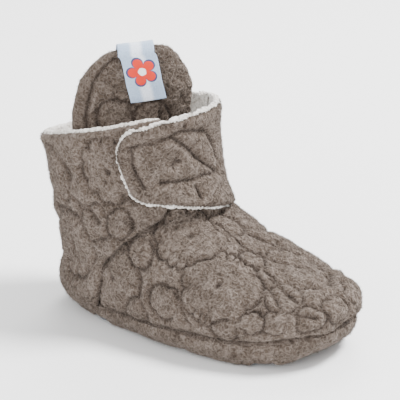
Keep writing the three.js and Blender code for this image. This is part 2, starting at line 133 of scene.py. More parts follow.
# The tongue: rise, forward (foot lengths), across (collar widths), turn and roll (degrees),
# width (share of its full half width) and bow (collar widths).
TONGUE = np.array([
    [0, 0.543, 0, 0, 0, 0.64, 0.125],
    [0.04, 0.536, -0.002, 2, 0, 0.66, 0.125],
    [0.1, 0.508, -0.016, 8, 1, 0.68, 0.115],
    [0.15, 0.475, -0.041, 15, 1, 0.66, 0.105],
    [0.25, 0.401, -0.114, 28, 3, 0.79, 0.1],
    [0.35, 0.335, -0.175, 37, 3, 0.92, 0.09],
    [0.425, 0.309, -0.186, 41, 4, 0.96, 0.08],
    [0.5, 0.304, -0.178, 43, 4, 0.96, 0.07],
    [0.62, 0.307, -0.164, 43, 5, 0.95, 0.065],
    [0.76, 0.305, -0.164, 43, 5, 0.86, 0.05],
    [0.87, 0.308, -0.158, 43, 5, 0.70, 0.035],
    [0.94, 0.311, -0.152, 43, 5, 0.55, 0.02],
    [1, 0.315, -0.145, 43, 5, 0.35, 0.005],
])
TONGUE_COLLAR_RISE = 0.5
TONGUE_HALF_SHARE = 0.44

# How far the soft collar stands above the plain solid's: angle in degrees, rise.
COLLAR_SWELL = np.array([
    [-180, 0],
    [-120, 2],
    [-60, 2.8],
    [-20, 3.0],
    [15, 3.2],
    [40, 3.6],
    [75, 4.4],
    [110, 3.6],
    [150, 1],
    [180, 0],
])
COLLAR_SWELL_START = 10.5

# How far the soft toe curls up above the plain solid's, and the shares of the foot where it does.
TOE_CURL = 2.4
TOE_CURL_SPAN = (0.78, 1)


def lerp(a, b, share):
    return a + (b - a) * share


def smooth(low, high, value):
    share = np.clip((value - low) / (high - low), 0, 1)
    return share * share * (3 - 2 * share)


def read(rows, column, value):
    """A table's column at a value of its first column."""
    return np.interp(value, rows[:, 0], rows[:, column])


def spline(column, at):
    """A smooth curve through a table's column, at places between its rows."""
    last = len(column) - 1
    ends = [2 * column[0] - column[1], 2 * column[-1] - column[-2]]
    padded = np.concatenate([ends[:1], column, ends[1:]])
    i = np.clip(np.floor(at), 0, last - 1).astype(int)
    f = at - i
    before, a, b, after = (padded[i + k] for k in range(4))
    slope_a = (b - before) / 2
    slope_b = (after - a) / 2
    square = 3 * (b - a) - 2 * slope_a - slope_b
    cube = 2 * (a - b) + slope_a + slope_b
    return a + f * (slope_a + f * (square + f * cube))


def centre_line(x):
    return TOE_SWING * smooth(*SWING_SPAN, x / FOOT_LENGTH)


def toe_curl(x):
    return TOE_CURL * smooth(*TOE_CURL_SPAN, x / FOOT_LENGTH)


def section(v):
    """The columns of the last's table at places between its rows."""
    return {name: spline(SECTIONS[:, i], v) for i, name in enumerate(SECTION_COLUMNS)}


def body_point(angle, v):
    """Points of the body's outer surface: angle 0 is the front and positive is the far side."""
    angle, v = np.broadcast_arrays(np.asarray(angle, float), np.asarray(v, float))
    s = section(v)
    cosine, sine = np.cos(angle), np.sin(angle)
    power = 2 / np.where(cosine >= 0, s["toe"], s["heel"])
    round_x = np.sign(cosine) * np.abs(cosine) ** power
    along = s["widest"] + round_x * np.where(cosine >= 0, 1 - s["widest"], s["widest"])
    rear = lerp(HEEL_WIDTH, COLLAR_WIDTH, s["shaft"])
    fore = lerp(BALL_WIDTH, COLLAR_WIDTH, s["shaft"])
    half = s["half"] / 2 * lerp(rear, fore, smooth(*WIDTH_SPAN, along))
    x = lerp(s["back_x"], s["front_x"], along) * FOOT_LENGTH
    z = lerp(s["back_z"] * COLLAR_BACK_HEIGHT, s["front_z"] * COLLAR_FRONT_HEIGHT, along)
    heading = np.degrees(angle + math.pi) % 360 - 180
    z = z + read(COLLAR_SWELL, 1, heading) * smooth(COLLAR_SWELL_START, COLLAR, v) + toe_curl(x)
    y = np.sign(sine) * np.abs(sine) ** power * half + centre_line(x)
    return np.stack([x, y, z], axis=-1)


# A small step in angle or section, for directions on the surface.
NUDGE = 0.01


def reach(vectors):
    return np.linalg.norm(vectors, axis=-1)


def unit(vectors):
    return vectors / np.maximum(reach(vectors), 1e-9)[..., None]


def body_axes(angle, v):
    """Unit vectors round the body, up it and out of it."""
    v = np.clip(v, 0, COLLAR - NUDGE)
    around = unit(body_point(angle + NUDGE, v) - body_point(angle - NUDGE, v))
    up = unit(body_point(angle, v + NUDGE) - body_point(angle, v))
    return around, up, unit(np.cross(around, up))


def body(angle, v, offset):
    """Points at a distance out of the body's surface."""
    out = body_axes(angle, v)[2]
    return body_point(angle, v) + out * np.asarray(offset)[..., None]


def angle_at(v, along):
    """Angle at which a section reaches a share of its length from back to front."""
    s = section(v)
    widest = s["widest"]
    front = np.clip((along - widest) / (1 - widest), 0, 1) ** (s["toe"] / 2)
    rear = np.clip((widest - along) / widest, 0, 1) ** (s["heel"] / 2)
    return np.where(along >= widest, np.arccos(front), np.arccos(-rear))


def travelled(points):
    """Distance along a line of points, at each of them."""
    return np.concatenate([[0], np.cumsum(reach(np.diff(points, axis=0)))])


OUTLINE_STEPS = 400


def even_angles(v, start, end, shares):
    """Angles at shares of the way along each section, from its start to its end angle."""
    rows = []
    for level, first, last in zip(v, start, end):
        angles = np.linspace(first, last, OUTLINE_STEPS)
        lengths = travelled(body_point(angles, level))
        rows.append(np.interp(np.asarray(shares) * lengths[-1], lengths, angles))
    return np.array(rows)


def body_grid(v, start, end, shares):
    """Angles and sections of a grid over the body, with a row for each section."""
    return even_angles(v, start, end, shares), np.repeat(v[:, None], len(shares), axis=1)


def hashed(cell, seed):
    """Random numbers from 0 to 1 that belong to whole-numbered cells, by a common integer hash."""
    x, y, z = (cell[..., i].astype(np.uint32) for i in range(3))
    h = x * np.uint32(73856093) ^ y * np.uint32(19349663) ^ z * np.uint32(83492791)
    h = h ^ np.uint32(seed * 2654435761 % 2**32)
    h = (h ^ (h >> 15)) * np.uint32(2246822519)
    h = (h ^ (h >> 13)) * np.uint32(3266489917)
    return (h ^ (h >> 16)) / 2.0**32


GRADIENTS = np.array([
    g for g in itertools.product((-1, 0, 1), repeat=3) if sum(abs(x) for x in g) == 2
], float)


def noise(points, pitch, seed):
    """Smooth random values from about -1 to 1, in bumps about a pitch wide."""
    p = points / pitch
    cell = np.floor(p).astype(np.int64)
    f = p - cell
    ease = f * f * f * (f * (f * 6 - 15) + 10)
    total = np.zeros(points.shape[:-1])
    for corner in itertools.product((0, 1), repeat=3):
        corner = np.array(corner)
        pick = (hashed(cell + corner, seed) * len(GRADIENTS)).astype(int)
        weight = np.prod(np.where(corner == 1, ease, 1 - ease), axis=-1)
        total += weight * np.sum((f - corner) * GRADIENTS[pick], axis=-1)
    return total


CURL_PITCH = 1.5
CURL_NARROWNESS = 2.4
CURL_BEND = 0.8
CURL_BEND_PITCH = 2.4
TUFT_PITCH = 3.6
PILE_BASE = 0.22
CURL_SHARE = 0.5
TUFT_SHARE = 0.45
SEEDS = {"bend": 11, "curl": 14, "tuft": 16, "swell": 21, "slack": 22, "sag": 31, "wander": 41}


def noise_vectors(points, pitch, seed):
    return np.stack([noise(points, pitch, seed + i) for i in range(3)], axis=-1)


def curls(points):
    """Height of the curly pile, from 0 in its pits to 1 on its curls."""
    bent = points + noise_vectors(points, CURL_BEND_PITCH, SEEDS["bend"]) * CURL_BEND
    curl = np.clip(1 - np.abs(noise(bent, CURL_PITCH, SEEDS["curl"])) * CURL_NARROWNESS, 0, 1)
    tuft = noise(points, TUFT_PITCH, SEEDS["tuft"])
    return np.clip(PILE_BASE + CURL_SHARE * curl + TUFT_SHARE * tuft, 0, 1)


# Quilted flowers: angle in degrees, section, radius, number of petals, spin in degrees.
VAMP_FLOWERS = [
    (-55, 4.75, 15.6, 13, 4),
    (-107.5, 3.6, 14.0, 11, 10),
    (-35.5, 7.9, 13.5, 11, 20),
    (3, 5.2, 13.0, 11, 5),
    (53, 4.8, 15.0, 12, 0),
    (107, 3.7, 14.5, 12, 15),
    (38, 8.0, 13.0, 11, 0),
    (-92, 2.7, 7.2, 3, 70),
    (-28, 3.9, 7.4, 2, 120),
    (-57, 2.2, 5.0, 4, 20),
    (-46, 2.1, 5.0, 4, 60),
    (-24, 1.9, 6.4, 3, 40),
    (-72, 1.3, 5.6, 3, 0),
    (-102, 1.0, 6.0, 3, 30),
    (-3, 2.2, 6.6, 4, 10),
    (20, 2.3, 6.8, 4, 30),
    (38, 2.0, 6.4, 3, 0),
    (62, 1.7, 6.8, 3, 30),
    (84, 1.8, 7.2, 4, 15),
    (0, 8.2, 7.0, 2, 80),
    (-80, 6.3, 6.4, 3, 30),
    (80, 6.3, 6.4, 3, 30),
    (-14, 6.3, 5.2, 2, 40),
]
QUARTER_FLOWERS = [
    (-71.5, 11.5, 12.5, 11, 0),
    (-127, 10.9, 12.5, 11, 12),
    (172, 11.3, 12.5, 11, 0),
    (112, 11.0, 14.0, 12, 20),
    (78, 9.4, 9.5, 6, 0),
    (-124, 5.5, 13.0, 11, 10),
    (-178, 5.0, 13.5, 12, 0),
    (128, 5.4, 13.5, 11, 0),
    (92, 6.9, 8.0, 4, 0),
    (-92, 8.2, 7.5, 4, 20),
    (-76, 8.6, 6.0, 3, 0),
    (-152, 8.0, 8.0, 4, 45),
    (150, 8.1, 8.0, 4, 0),
    (-148, 2.3, 7.0, 3, 0),
    (150, 2.3, 7.0, 3, 60),
    (-112, 2.0, 6.5, 3, 30),
    (112, 2.0, 7.0, 3, 30),
]

# Sewn lines between the flowers, through pairs of an angle in degrees and a section.
VAMP_LINES = [
    [(-8.5, 8.9), (-5, 8.2), (-6, 7.45), (-9, 6.85), (-7, 6.45), (0.5, 5.6)],
    [(7, 7.4), (11, 6.8), (15, 6.3)],
    [(-29.5, 4.9), (-29.5, 4.5), (-34.5, 3.75), (-38.5, 2.9)],
    [(-38.5, 2.9), (-28.5, 2.4), (-20.5, 2.0)],
    [(-13, 2.9), (-13, 1.5)],
    [(-3, 3.6), (-6.5, 3.0)],
    [(-84.5, 3.85), (-88.5, 2.5), (-87, 1.05)],
    [(-20.5, 5.15), (-24.5, 3.4)],
]
QUARTER_LINES = [
    [(-115.5, 12.1), (-105, 11.45), (-102.5, 11.1), (-106.5, 10.6), (-117.5, 9.6)],
    [(-105.5, 9.9), (-100, 9.15), (-93, 9.3), (-89.5, 8.4)],
    [(-102, 9.7), (-93.5, 9.15)],
]

# Depths are shares of a flower's radius, and the notches between its petals start at a share of it.
PETAL_DEPTH = 0.14
SMALL_PETAL_DEPTH = 0.26
SMALL_RADIUS = 9.0
DIMPLE_RADIUS = 1.5
NOTCH_START = 0.78
NOTCH_SOFTNESS = 0.45
SHARED_SEAM = 0.7
SEWN_WANDER = 0.55
WANDER_PITCH = 7.0
FAR = 99.0


def flower_places(table, offset):
    """Centre, axes and numbers of each quilted flower of a table on the body."""
    placed = []
    for angle, v, radius, petals, spin in table:
        angle = math.radians(angle)
        around, up, _ = body_axes(angle, v)
        centre = body(np.array(angle), np.array(v), offset)
        placed.append((centre, around, up, radius, petals, math.radians(spin)))
    return placed


def line_distance(points, line):
    """Distance from each point to a line through a list of points."""
    nearest = np.full(points.shape[:-1], FAR)
    for a, b in zip(line[:-1], line[1:]):
        run = b - a
        share = np.clip(((points - a) @ run) / (run @ run), 0, 1)
        gap = points - a - share[..., None] * run
        nearest = np.minimum(nearest, reach(gap))
    return nearest


def quilting(points, flowers, lines=()):
    """Distance from each point to the nearest sewn line, and the depth of the flowers' dimples."""
    points = points + noise_vectors(points, WANDER_PITCH, SEEDS["wander"]) * SEWN_WANDER
    shape = points.shape[:-1]
    nearest = np.full(shape, FAR)
    second = np.full(shape, FAR)
    size = np.ones(shape)
    notches = np.full(shape, FAR)
    dimples = np.zeros(shape)
    for centre, across, up, radius, petals, spin in flowers:
        q = points - centre
        r = reach(q)
        turn = np.arctan2(q @ up, q @ across) - spin
        petal = (turn * petals / (2 * math.pi)) % 1
        depth = SMALL_PETAL_DEPTH if radius < SMALL_RADIUS else PETAL_DEPTH
        outline = radius * (1 - depth + depth * np.sqrt(np.sin(math.pi * petal)))
        ratio = r / outline
        aside = np.minimum(petal, 1 - petal) * 2 * math.pi / petals * r
        short = np.maximum(NOTCH_START * radius - r, 0)
        notch = np.hypot(aside, short) + NOTCH_SOFTNESS
        dimple = np.exp(-((r / DIMPLE_RADIUS) ** 2)) * (radius > SMALL_RADIUS)
        own = ratio < nearest
        second = np.where(own, nearest, np.minimum(second, ratio))
        nearest = np.where(own, ratio, nearest)
        size = np.where(own, radius, size)
        notches = np.where(own, np.where(ratio < 1, notch, FAR), notches)
        dimples = np.where(own, dimple, dimples)
    rim = np.abs(1 - nearest) * size
    shared = np.where(second < 1, np.abs(second - nearest) * size * SHARED_SEAM, FAR)
    distance = np.minimum(np.minimum(rim, shared), notches)
    for line in lines:
        distance = np.minimum(distance, line_distance(points, line))
    return distance, dimples


def on_body(pairs, offset):
    """Points on the body from pairs of an angle in degrees and a section."""
    return [body(np.radians(float(a)), np.array(float(v)), offset) for a, v in pairs]


METRE = 1000.0


def box_centre(node):
    """The middle of a solid's box, in millimetres of the row's frame."""
    low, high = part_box(node)
    return np.array(((low + high) / 2).to_tuple()) * METRE


# The rear pad of the middle row lies on the middle line, a fifth of the foot from the heel.
GRIP_X = 0.2 * FOOT_LENGTH
SHIFT = (box_centre("grip_2_1") - [GRIP_X, 0, 0]) * [1, 1, 0]


def place(points):
    """The shoe's millimetres as metres in the row's frame."""
    return (np.asarray(points) + SHIFT) / METRE


def ride(piece, slot, *nodes):
    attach(piece, "root")
    if nodes:
        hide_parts(*nodes)
    return piece


def new_object(name, data):
    made = bpy.data.objects.new(name, data)
    bpy.context.scene.collection.objects.link(made)
    return made


def new_mesh(name, points, faces, material, values):
    """A smooth mesh object from points in the shoe's millimetres and faces of equal length."""
    points = place(points).reshape(-1, 3)
    faces = np.asarray(faces, np.int32)
    mesh = bpy.data.meshes.new(name)
    mesh.vertices.add(len(points))
    mesh.vertices.foreach_set("co", points.astype(np.float32).ravel())
    mesh.loops.add(faces.size)
    mesh.loops.foreach_set("vertex_index", faces.ravel())
    mesh.polygons.add(len(faces))
    starts = np.arange(0, faces.size, faces.shape[1], dtype=np.int32)
    mesh.polygons.foreach_set("loop_start", starts)
    mesh.polygons.foreach_set("use_smooth", np.ones(len(faces), bool))
    mesh.update(calc_edges=True)
    for key, numbers in values.items():
        layer = mesh.attributes.new(key, "FLOAT", "POINT")
        layer.data.foreach_set("value", np.asarray(numbers, np.float32).ravel())
    mesh.materials.append(material)
    return new_object(name, mesh)


def grid_faces(rows, columns, around=False, start=0):
    """Quads between the points of a grid, closed round its rows where around is set."""
    index = np.arange(rows * columns).reshape(rows, columns) + start
    if around:
        index = np.concatenate([index, index[:, :1]], axis=1)
    quads = np.stack([index[:-1, :-1], index[:-1, 1:], index[1:, 1:], index[1:, :-1]], -1)
    return quads.reshape(-1, 4)


def grid_normals(points, around=False):
    """Outward directions of a grid whose columns go round and whose rows go up."""
    if around:
        wide = np.concatenate([points[:, -1:], points, points[:, :1]], axis=1)
        across = wide[:, 2:] - wide[:, :-2]
    else:
        across = np.gradient(points, axis=1)
    return unit(np.cross(across, np.gradient(points, axis=0)))


# Padding: its rise between seams, the share of it on the plain surface, and its distance to be full.
PAD_RISE = 2.8
PAD_MIDDLE = 0.87
PAD_ROUND = 2.0
DEEPEST = -1.9
SEAM_SHADE_WIDTH = 1.0
SEAM_PULL = 0.8
SEAM_PULL_LEAST = 0.3
SLACK = 0.8
SLACK_PITCH = 9.0
DIMPLE_DEPTH = 1.5
CURL_RISE = 0.65
SEAM_CURL_SHARE = 0.4
SWELL = 0.5
SWELL_PITCH = 14.0

# Surfaces that grow loose fibres, each as its points and their outward directions.
fuzzed = []


def fleece_grid(
    name, points, sewn, material, around=False, rise=PAD_RISE, curl=CURL_RISE, calm=1.0, slack=SLACK,
    soft=PAD_ROUND,
):
    """A sheet of curly fleece over a grid of points, drawn in where its sewn lines run."""
    distance, dimples = sewn
    pull = SEAM_PULL + slack * noise(points, SLACK_PITCH, SEEDS["slack"])
    pull = np.clip(pull, SEAM_PULL_LEAST, 1)
    pile = curls(points)
    pad = 1 - pull * np.exp(-distance / soft)
    lift = rise * (pad - PAD_MIDDLE) - DIMPLE_DEPTH * dimples * pull
    lift = lift + SWELL * noise(points, SWELL_PITCH, SEEDS["swell"])
    lift = lift + curl * (pile - 0.5) * lerp(SEAM_CURL_SHARE, 1, pad)
    lift = np.maximum(lift, DEEPEST) * calm
    done = points + grid_normals(points, around) * lift[..., None]
    if material == brown:
        fuzzed.append((done, grid_normals(done, around)))
    rows, columns = points.shape[:2]
    # This value darkens the colour towards the sewn lines, the edges and in the dimples: painted shade
    # in these grooves, with a painted highlight just beside them on the brown fleece.
    values = {"pile": pile, "seam_shade": np.maximum(pull * np.exp(-distance / SEAM_SHADE_WIDTH), dimples)}
    return new_mesh(name, done, grid_faces(rows, columns, around), material, values)


def plain(points):
    """Sewn lines and dimples of a sheet that has none."""
    return np.full(points.shape[:-1], FAR), np.zeros(points.shape[:-1])


CLOTH_SPECULAR = 0.25
SHEEN_ROUGHNESS = 0.45


def new_material(name, roughness, sheen=0.0, sheen_tint=(1, 1, 1, 1)):
    """A node material and its tree, shader and texture coordinates in metres."""
    material = bpy.data.materials.new(name)
    material.use_nodes = True
    tree = material.node_tree
    shader = tree.nodes["Principled BSDF"]
    shader.inputs["Roughness"].default_value = roughness
    shader.inputs["Sheen Weight"].default_value = sheen
    shader.inputs["Sheen Roughness"].default_value = SHEEN_ROUGHNESS
    shader.inputs["Sheen Tint"].default_value = sheen_tint
    shader.inputs["Specular IOR Level"].default_value = CLOTH_SPECULAR
    coordinates = tree.nodes.new("ShaderNodeTexCoord")
    return material, tree, shader, coordinates.outputs["Object"]


def grain(tree, where, scale, detail, output="Fac"):
    """A noise texture's output, with its scale in bumps a metre."""
    node = tree.nodes.new("ShaderNodeTexNoise")
    node.inputs["Scale"].default_value = scale
    node.inputs["Detail"].default_value = detail
    tree.links.new(where, node.inputs["Vector"])
    return node.outputs[output]


def attribute(tree, name):
    node = tree.nodes.new("ShaderNodeAttribute")
    node.attribute_name = name
    return node.outputs["Fac"]


def feed(tree, value, target):
    """Gives an input a number, or links it to another node's output."""
    if isinstance(value, float):
        target.default_value = value
    else:
        tree.links.new(value, target)


def maths(tree, operation, a, b):
    node = tree.nodes.new("ShaderNodeMath")
    node.operation = operation
    feed(tree, a, node.inputs[0])
    feed(tree, b, node.inputs[1])
    return node.outputs[0]


def ramp(tree, factor, stops):
    node = tree.nodes.new("ShaderNodeValToRGB")
    elements = node.color_ramp.elements
    while len(elements) < len(stops):
        elements.new(0.5)
    for element, (position, colour) in zip(elements, stops):
        element.position = position
        element.color = (*colour, 1)
    tree.links.new(factor, node.inputs["Fac"])
    return node.outputs["Color"]


def mixed(tree, factor, a, b, blend="MIX"):
    node = tree.nodes.new("ShaderNodeMix")
    node.data_type = "RGBA"
    node.blend_type = blend
    for key, value in (("Factor", factor), ("A", a), ("B", b)):
        feed(tree, value, [s for s in node.inputs if s.name == key and s.enabled][0])
    return [s for s in node.outputs if s.enabled][0]


def bump(tree, shader, height, distance, strength):
    node = tree.nodes.new("ShaderNodeBump")
    node.inputs["Distance"].default_value = distance
    node.inputs["Strength"].default_value = strength
    tree.links.new(height, node.inputs["Height"])
    tree.links.new(node.outputs["Normal"], shader.inputs["Normal"])


# Fleece shader: scales in bumps a metre, depths in metres.
PILE_BEND = 0.0016
BEND_SCALE = 420
WORM_SCALE = 720
WORM_NARROWNESS = 6.5
FINE_SCALE = 2300
PATCH_SCALE = 55
PILE_DEPTH = 0.0007
FLEECE_ROUGHNESS = 0.95

# Shares of the worms, the fine grain and the modelled pile in the height that colours the fleece.
PILE_SHARES = (0.40, 0.26, 0.44)
PATCH_STOPS = [(0.3, (0.88, 0.87, 0.86)), (0.7, (1.1, 1.1, 1.1))]


def fleece_material(name, stops, seam_shade_stops, sheen, sheen_tint, lined_stops=None):
    """Curly pile of fine worms of thread: pale on top, with painted shade in their pits, in the sewn
    grooves and in the dimples, and a painted highlight beside the grooves.
    """
    material, tree, shader, where = new_material(name, FLEECE_ROUGHNESS, sheen, sheen_tint)
    bent = tree.nodes.new("ShaderNodeVectorMath")
    bent.operation = "MULTIPLY_ADD"
    tree.links.new(grain(tree, where, BEND_SCALE, 1.0, "Color"), bent.inputs[0])
    bent.inputs[1].default_value = (PILE_BEND, PILE_BEND, PILE_BEND)
    tree.links.new(where, bent.inputs[2])
    worm = grain(tree, bent.outputs[0], WORM_SCALE, 1.0)
    away = maths(tree, "ABSOLUTE", maths(tree, "SUBTRACT", worm, 0.5), 0.0)
    ridge = maths(tree, "SUBTRACT", 1.0, maths(tree, "MULTIPLY", away, WORM_NARROWNESS))
    pile = attribute(tree, "pile")
    parts = (maths(tree, "MAXIMUM", ridge, 0.0), grain(tree, where, FINE_SCALE, 2.0), pile)
    height = 0.0
    for part, share in zip(parts, PILE_SHARES):
        height = maths(tree, "ADD", maths(tree, "MULTIPLY", part, share), height)
    # Painted shade in the sewn grooves and dimples, with a painted highlight just beside the grooves.
    seam_shading = ramp(tree, attribute(tree, "seam_shade"), seam_shade_stops)
    colour = mixed(tree, 1.0, ramp(tree, height, stops), seam_shading, "MULTIPLY")
    patches = ramp(tree, grain(tree, where, PATCH_SCALE, 2.0), PATCH_STOPS)
    colour = mixed(tree, 1.0, colour, patches, "MULTIPLY")
    if lined_stops:
        colour = mixed(tree, attribute(tree, "lined"), colour, ramp(tree, pile, lined_stops))
    tree.links.new(colour, shader.inputs["Base Color"])
    bump(tree, shader, height, PILE_DEPTH, 0.9)
    return material


GRAIN_DEPTH = 0.0002


def grained_material(name, roughness, sheen, scale, detail, shades, strength, key=None, stops=()):
    """A fine grain that shades the colour and gives the bump, over colours set by an attribute."""
    material, tree, shader, where = new_material(name, roughness, sheen)
    fine = grain(tree, where, scale, detail)
    colour = ramp(tree, fine, shades)
    if key:
        colour = mixed(tree, 1.0, ramp(tree, attribute(tree, key), stops), colour, "MULTIPLY")
    tree.links.new(colour, shader.inputs["Base Color"])
    bump(tree, shader, fine, GRAIN_DEPTH, strength)
    return material


# Colours of the brown pile by its height: pale on the curls' tops, with painted shade in their pits.
BROWN_STOPS = [
    (0.10, (0.028, 0.0193, 0.0138)),
    (0.36, (0.063, 0.0472, 0.0366)),
    (0.62, (0.099, 0.0778, 0.0642)),
    (0.90, (0.160, 0.1320, 0.1140)),
]
# How the brown colour changes towards a sewn line: a painted highlight on the pad's edge beside the
# groove, then painted shade in the groove and in the dimples.
BROWN_SEAM_SHADE_AND_HIGHLIGHT = [
    (0.0, (1.0, 1.0, 1.0)),
    (0.14, (1.12, 1.12, 1.12)),
    (0.38, (0.86, 0.845, 0.835)),
    (0.8, (0.42, 0.39, 0.37)),
]
# The pale pile likewise: pale on its tops, with painted shade in its pits.
WHITE_STOPS = [
    (0.15, (0.30, 0.27, 0.24)),
    (0.38, (0.50, 0.47, 0.43)),
    (0.60, (0.63, 0.60, 0.56)),
    (0.88, (0.72, 0.70, 0.67)),
]
# The pale fleece's painted shade in its sewn grooves and dimples.
WHITE_SEAM_SHADE = [(0.0, (1.0, 1.0, 1.0)), (0.8, (0.6, 0.57, 0.53))]
BROWN_LOOK = (BROWN_STOPS, BROWN_SEAM_SHADE_AND_HIGHLIGHT, 0.12, (0.8, 0.7, 0.62, 1))
# The tongue's pale lining by pile height, with painted shade in its pits.
LINED_STOPS = [(0.1, (0.5, 0.47, 0.43)), (0.7, (0.82, 0.8, 0.76))]
brown = fleece_material("fleece_brown", *BROWN_LOOK)
white = fleece_material("fleece_white", WHITE_STOPS, WHITE_SEAM_SHADE, 0.25, (1, 1, 1, 1))

# The tongue's cloth changes to the pale lining on its back.
tongue_cloth = fleece_material("fleece_tongue", *BROWN_LOOK, LINED_STOPS)


# Foot: the vamp's fleece from one quarter edge round the toe to the other, up under the strap.
VAMP_TUCK = 7.0
VAMP_TOP = 9.9
VAMP_SINK = 1.0
VAMP_SWELL = 0.9
VAMP_SWELL_AT = 4.5
VAMP_SWELL_WIDTH = 3.2
VAMP_ROWS = 200
VAMP_COLUMNS = 480
SECTION_HEIGHT = 3.4

# Sections over which the swell beside the quarter's edge, and the edge's own dip, fade out upwards.
FADE_SPAN = (4, 6.5)


def edge_angles(v):
    """Angles of the quarter's front edge on the near and on the far side."""
    near = angle_at(v, read(QUARTER_EDGE, 1, v))
    far = angle_at(v, read(QUARTER_EDGE, 2, v))
    return near, far


def make_vamp():
    v = np.linspace(0, VAMP_TOP, VAMP_ROWS)
    near, far = edge_angles(v)
    tuck = VAMP_TUCK / (HEEL_WIDTH / 2)
    angles, levels = body_grid(v, -near - tuck, far + tuck, np.linspace(0, 1, VAMP_COLUMNS))
    points = body(angles, levels, np.zeros_like(angles))
    lines = [on_body(line, 0) for line in VAMP_LINES]
    distance, dimples = quilting(points, flower_places(VAMP_FLOWERS, 0), lines)
    distance = np.minimum(distance, levels * SECTION_HEIGHT * 0.8 + 0.5)
    inside = np.minimum(angles + near[:, None], far[:, None] - angles) * HEEL_WIDTH / 2
    sink = np.maximum(1 - smooth(-0.5, 2.2, inside), smooth(THROAT, VAMP_TOP, levels)) * VAMP_SINK
    swell = np.exp(-(((inside - VAMP_SWELL_AT) / VAMP_SWELL_WIDTH) ** 2))
    sink = sink - VAMP_SWELL * swell * (1 - smooth(*FADE_SPAN, levels))
    points = points - body_axes(angles, levels)[2] * sink[..., None]
    distance = np.minimum(distance, np.abs(inside) * 0.7 + 0.6)
    piece = fleece_grid("vamp_fleece", points, (distance, dimples), brown)
    return ride(piece, "fleece", "upper")


# Quarter and shaft: one panel round the heel, up to the collar, with rolled edges.
EDGE_ROLL = 1.9
COLLAR_ROLL = 2.4
BOTTOM_ROLL = 1.6
ROLL_STEPS = 7


def rolled(gap, radius=EDGE_ROLL):
    """How far an edge of a given roll drops at a distance in from its end."""
    t = 1 - np.clip(gap / radius, 0, 1)
    return radius * (1 - np.sqrt(np.maximum(1 - t * t, 0)))


def edged(count, length, radius=EDGE_ROLL):
    """Shares of a length, even in the middle and close together at both rolled ends."""
    ends = radius * (1 - np.cos(np.linspace(0, math.pi / 2, ROLL_STEPS))) / length
    return np.concatenate([ends[:-1], np.linspace(ends[-1], 1 - ends[-1], count), 1 - ends[-2::-1]])


QUARTER_LENGTH = 130.0
QUARTER_ROWS = 198
QUARTER_COLUMNS = 345
CROWN = 0.4

# The heel sags and bulges over the sole between these angles, up to a section.
HEEL_HANG = 0.8
HEEL_BULGE = 1.4
HEEL_SPAN = (95, 150)
HEEL_TOP = 4
FRONT_SINK = 1.2
FRONT_SINK_WIDTH = 5

# How far the rows under the quarter's lower edge are tucked in behind the sole.
TUCKS = (5.0, 3.6, 2.4)


def make_quarter():
    shares = edged(QUARTER_COLUMNS, QUARTER_LENGTH)
    crown = COLLAR - CROWN * np.linspace(0.8, 0, 6) ** 1.5
    v = np.concatenate([[0.0] * len(TUCKS), np.linspace(0, COLLAR - CROWN, QUARTER_ROWS), crown])
    near, far = edge_angles(v)
    angles, levels = body_grid(v, far, 2 * math.pi - near, shares)
    heel = smooth(*HEEL_SPAN, 180 - np.abs(np.degrees(angles) - 180))
    heel = heel * (1 - smooth(0, HEEL_TOP, levels))
    width = np.minimum(shares, 1 - shares) * QUARTER_LENGTH
    sunk = FRONT_SINK * np.exp(-width / FRONT_SINK_WIDTH) * (1 - smooth(*FADE_SPAN, levels))
    flat = body(angles, levels - HEEL_HANG * heel, PANEL_STEP + HEEL_BULGE * heel - sunk)
    length = reach(np.diff(flat, axis=1)).sum(axis=1)[:, None]
    gap = np.minimum(shares, 1 - shares) * length
    top = reach(flat - flat[-1:])
    bottom = reach(flat - flat[:1])
    drop = np.maximum(rolled(gap), np.maximum(rolled(top, COLLAR_ROLL), rolled(bottom, BOTTOM_ROLL)))
    drop[:len(TUCKS)] = np.array(TUCKS)[:, None]
    points = flat - body_axes(angles, levels)[2] * drop[..., None]
    lines = [on_body(line, PANEL_STEP) for line in QUARTER_LINES]
    distance, dimples = quilting(points, flower_places(QUARTER_FLOWERS, PANEL_STEP), lines)
    distance = np.minimum(distance, np.minimum(levels * SECTION_HEIGHT, gap * 1.2 + 0.2))
    calm = smooth(0, 2.5, np.minimum(gap, top)) * 0.7 + 0.3
    piece = fleece_grid("quarter_fleece", points, (distance, dimples), brown, calm=calm)
    return ride(piece, "fleece")


# Linings: the pale fleece inside the shaft and the foot, and its roll along the collar.
LINING_LOWEST = 0.4
LINING_DEPTH = 3.6
FOOT_LINING_DEPTH = 4.3
LINING_COLUMNS = 250
FOOT_LINING_COLUMNS = 150
COLLAR_ROLL_RADIUS = 1.35


def make_lining(name, start, end, v, offset, columns):
    """A sheet of pale pile inside the wall, at an offset from the body's surface."""
    angles, levels = body_grid(v, start, end, np.linspace(0, 1, columns))
    points = body(angles, levels, np.broadcast_to(offset, angles.shape))[:, ::-1]
    return ride(fleece_grid(name, points, plain(points), white, rise=0.0, curl=0.8), "lining")


def pile_roll(name, path, outs, radius, around, curl):
    """A soft roll of pale pile along a path, closed to a point at both ends."""
    run = unit(np.gradient(path, axis=0))
    out = unit(outs - run * np.sum(outs * run, axis=-1, keepdims=True))
    side = np.cross(out, run)
    turn = np.linspace(0, 2 * math.pi, around, endpoint=False)
    circle = np.cos(turn)[:, None] * out[:, None] + np.sin(turn)[:, None] * side[:, None]
    ends = np.ones(len(path))
    ends[[0, -1]] = 0.05
    ends[[1, -2]] = 0.7
    points = path[:, None] + circle * (radius * ends)[:, None, None]
    pile = curls(points)
    done = points + circle * (curl * (pile - 0.5) * ends[:, None])[..., None]
    values = {"pile": pile, "seam_shade": np.zeros(pile.shape)}
    faces = grid_faces(len(path), around, True)[:, ::-1]
    return ride(new_mesh(name, done, faces, white, values), "lining")


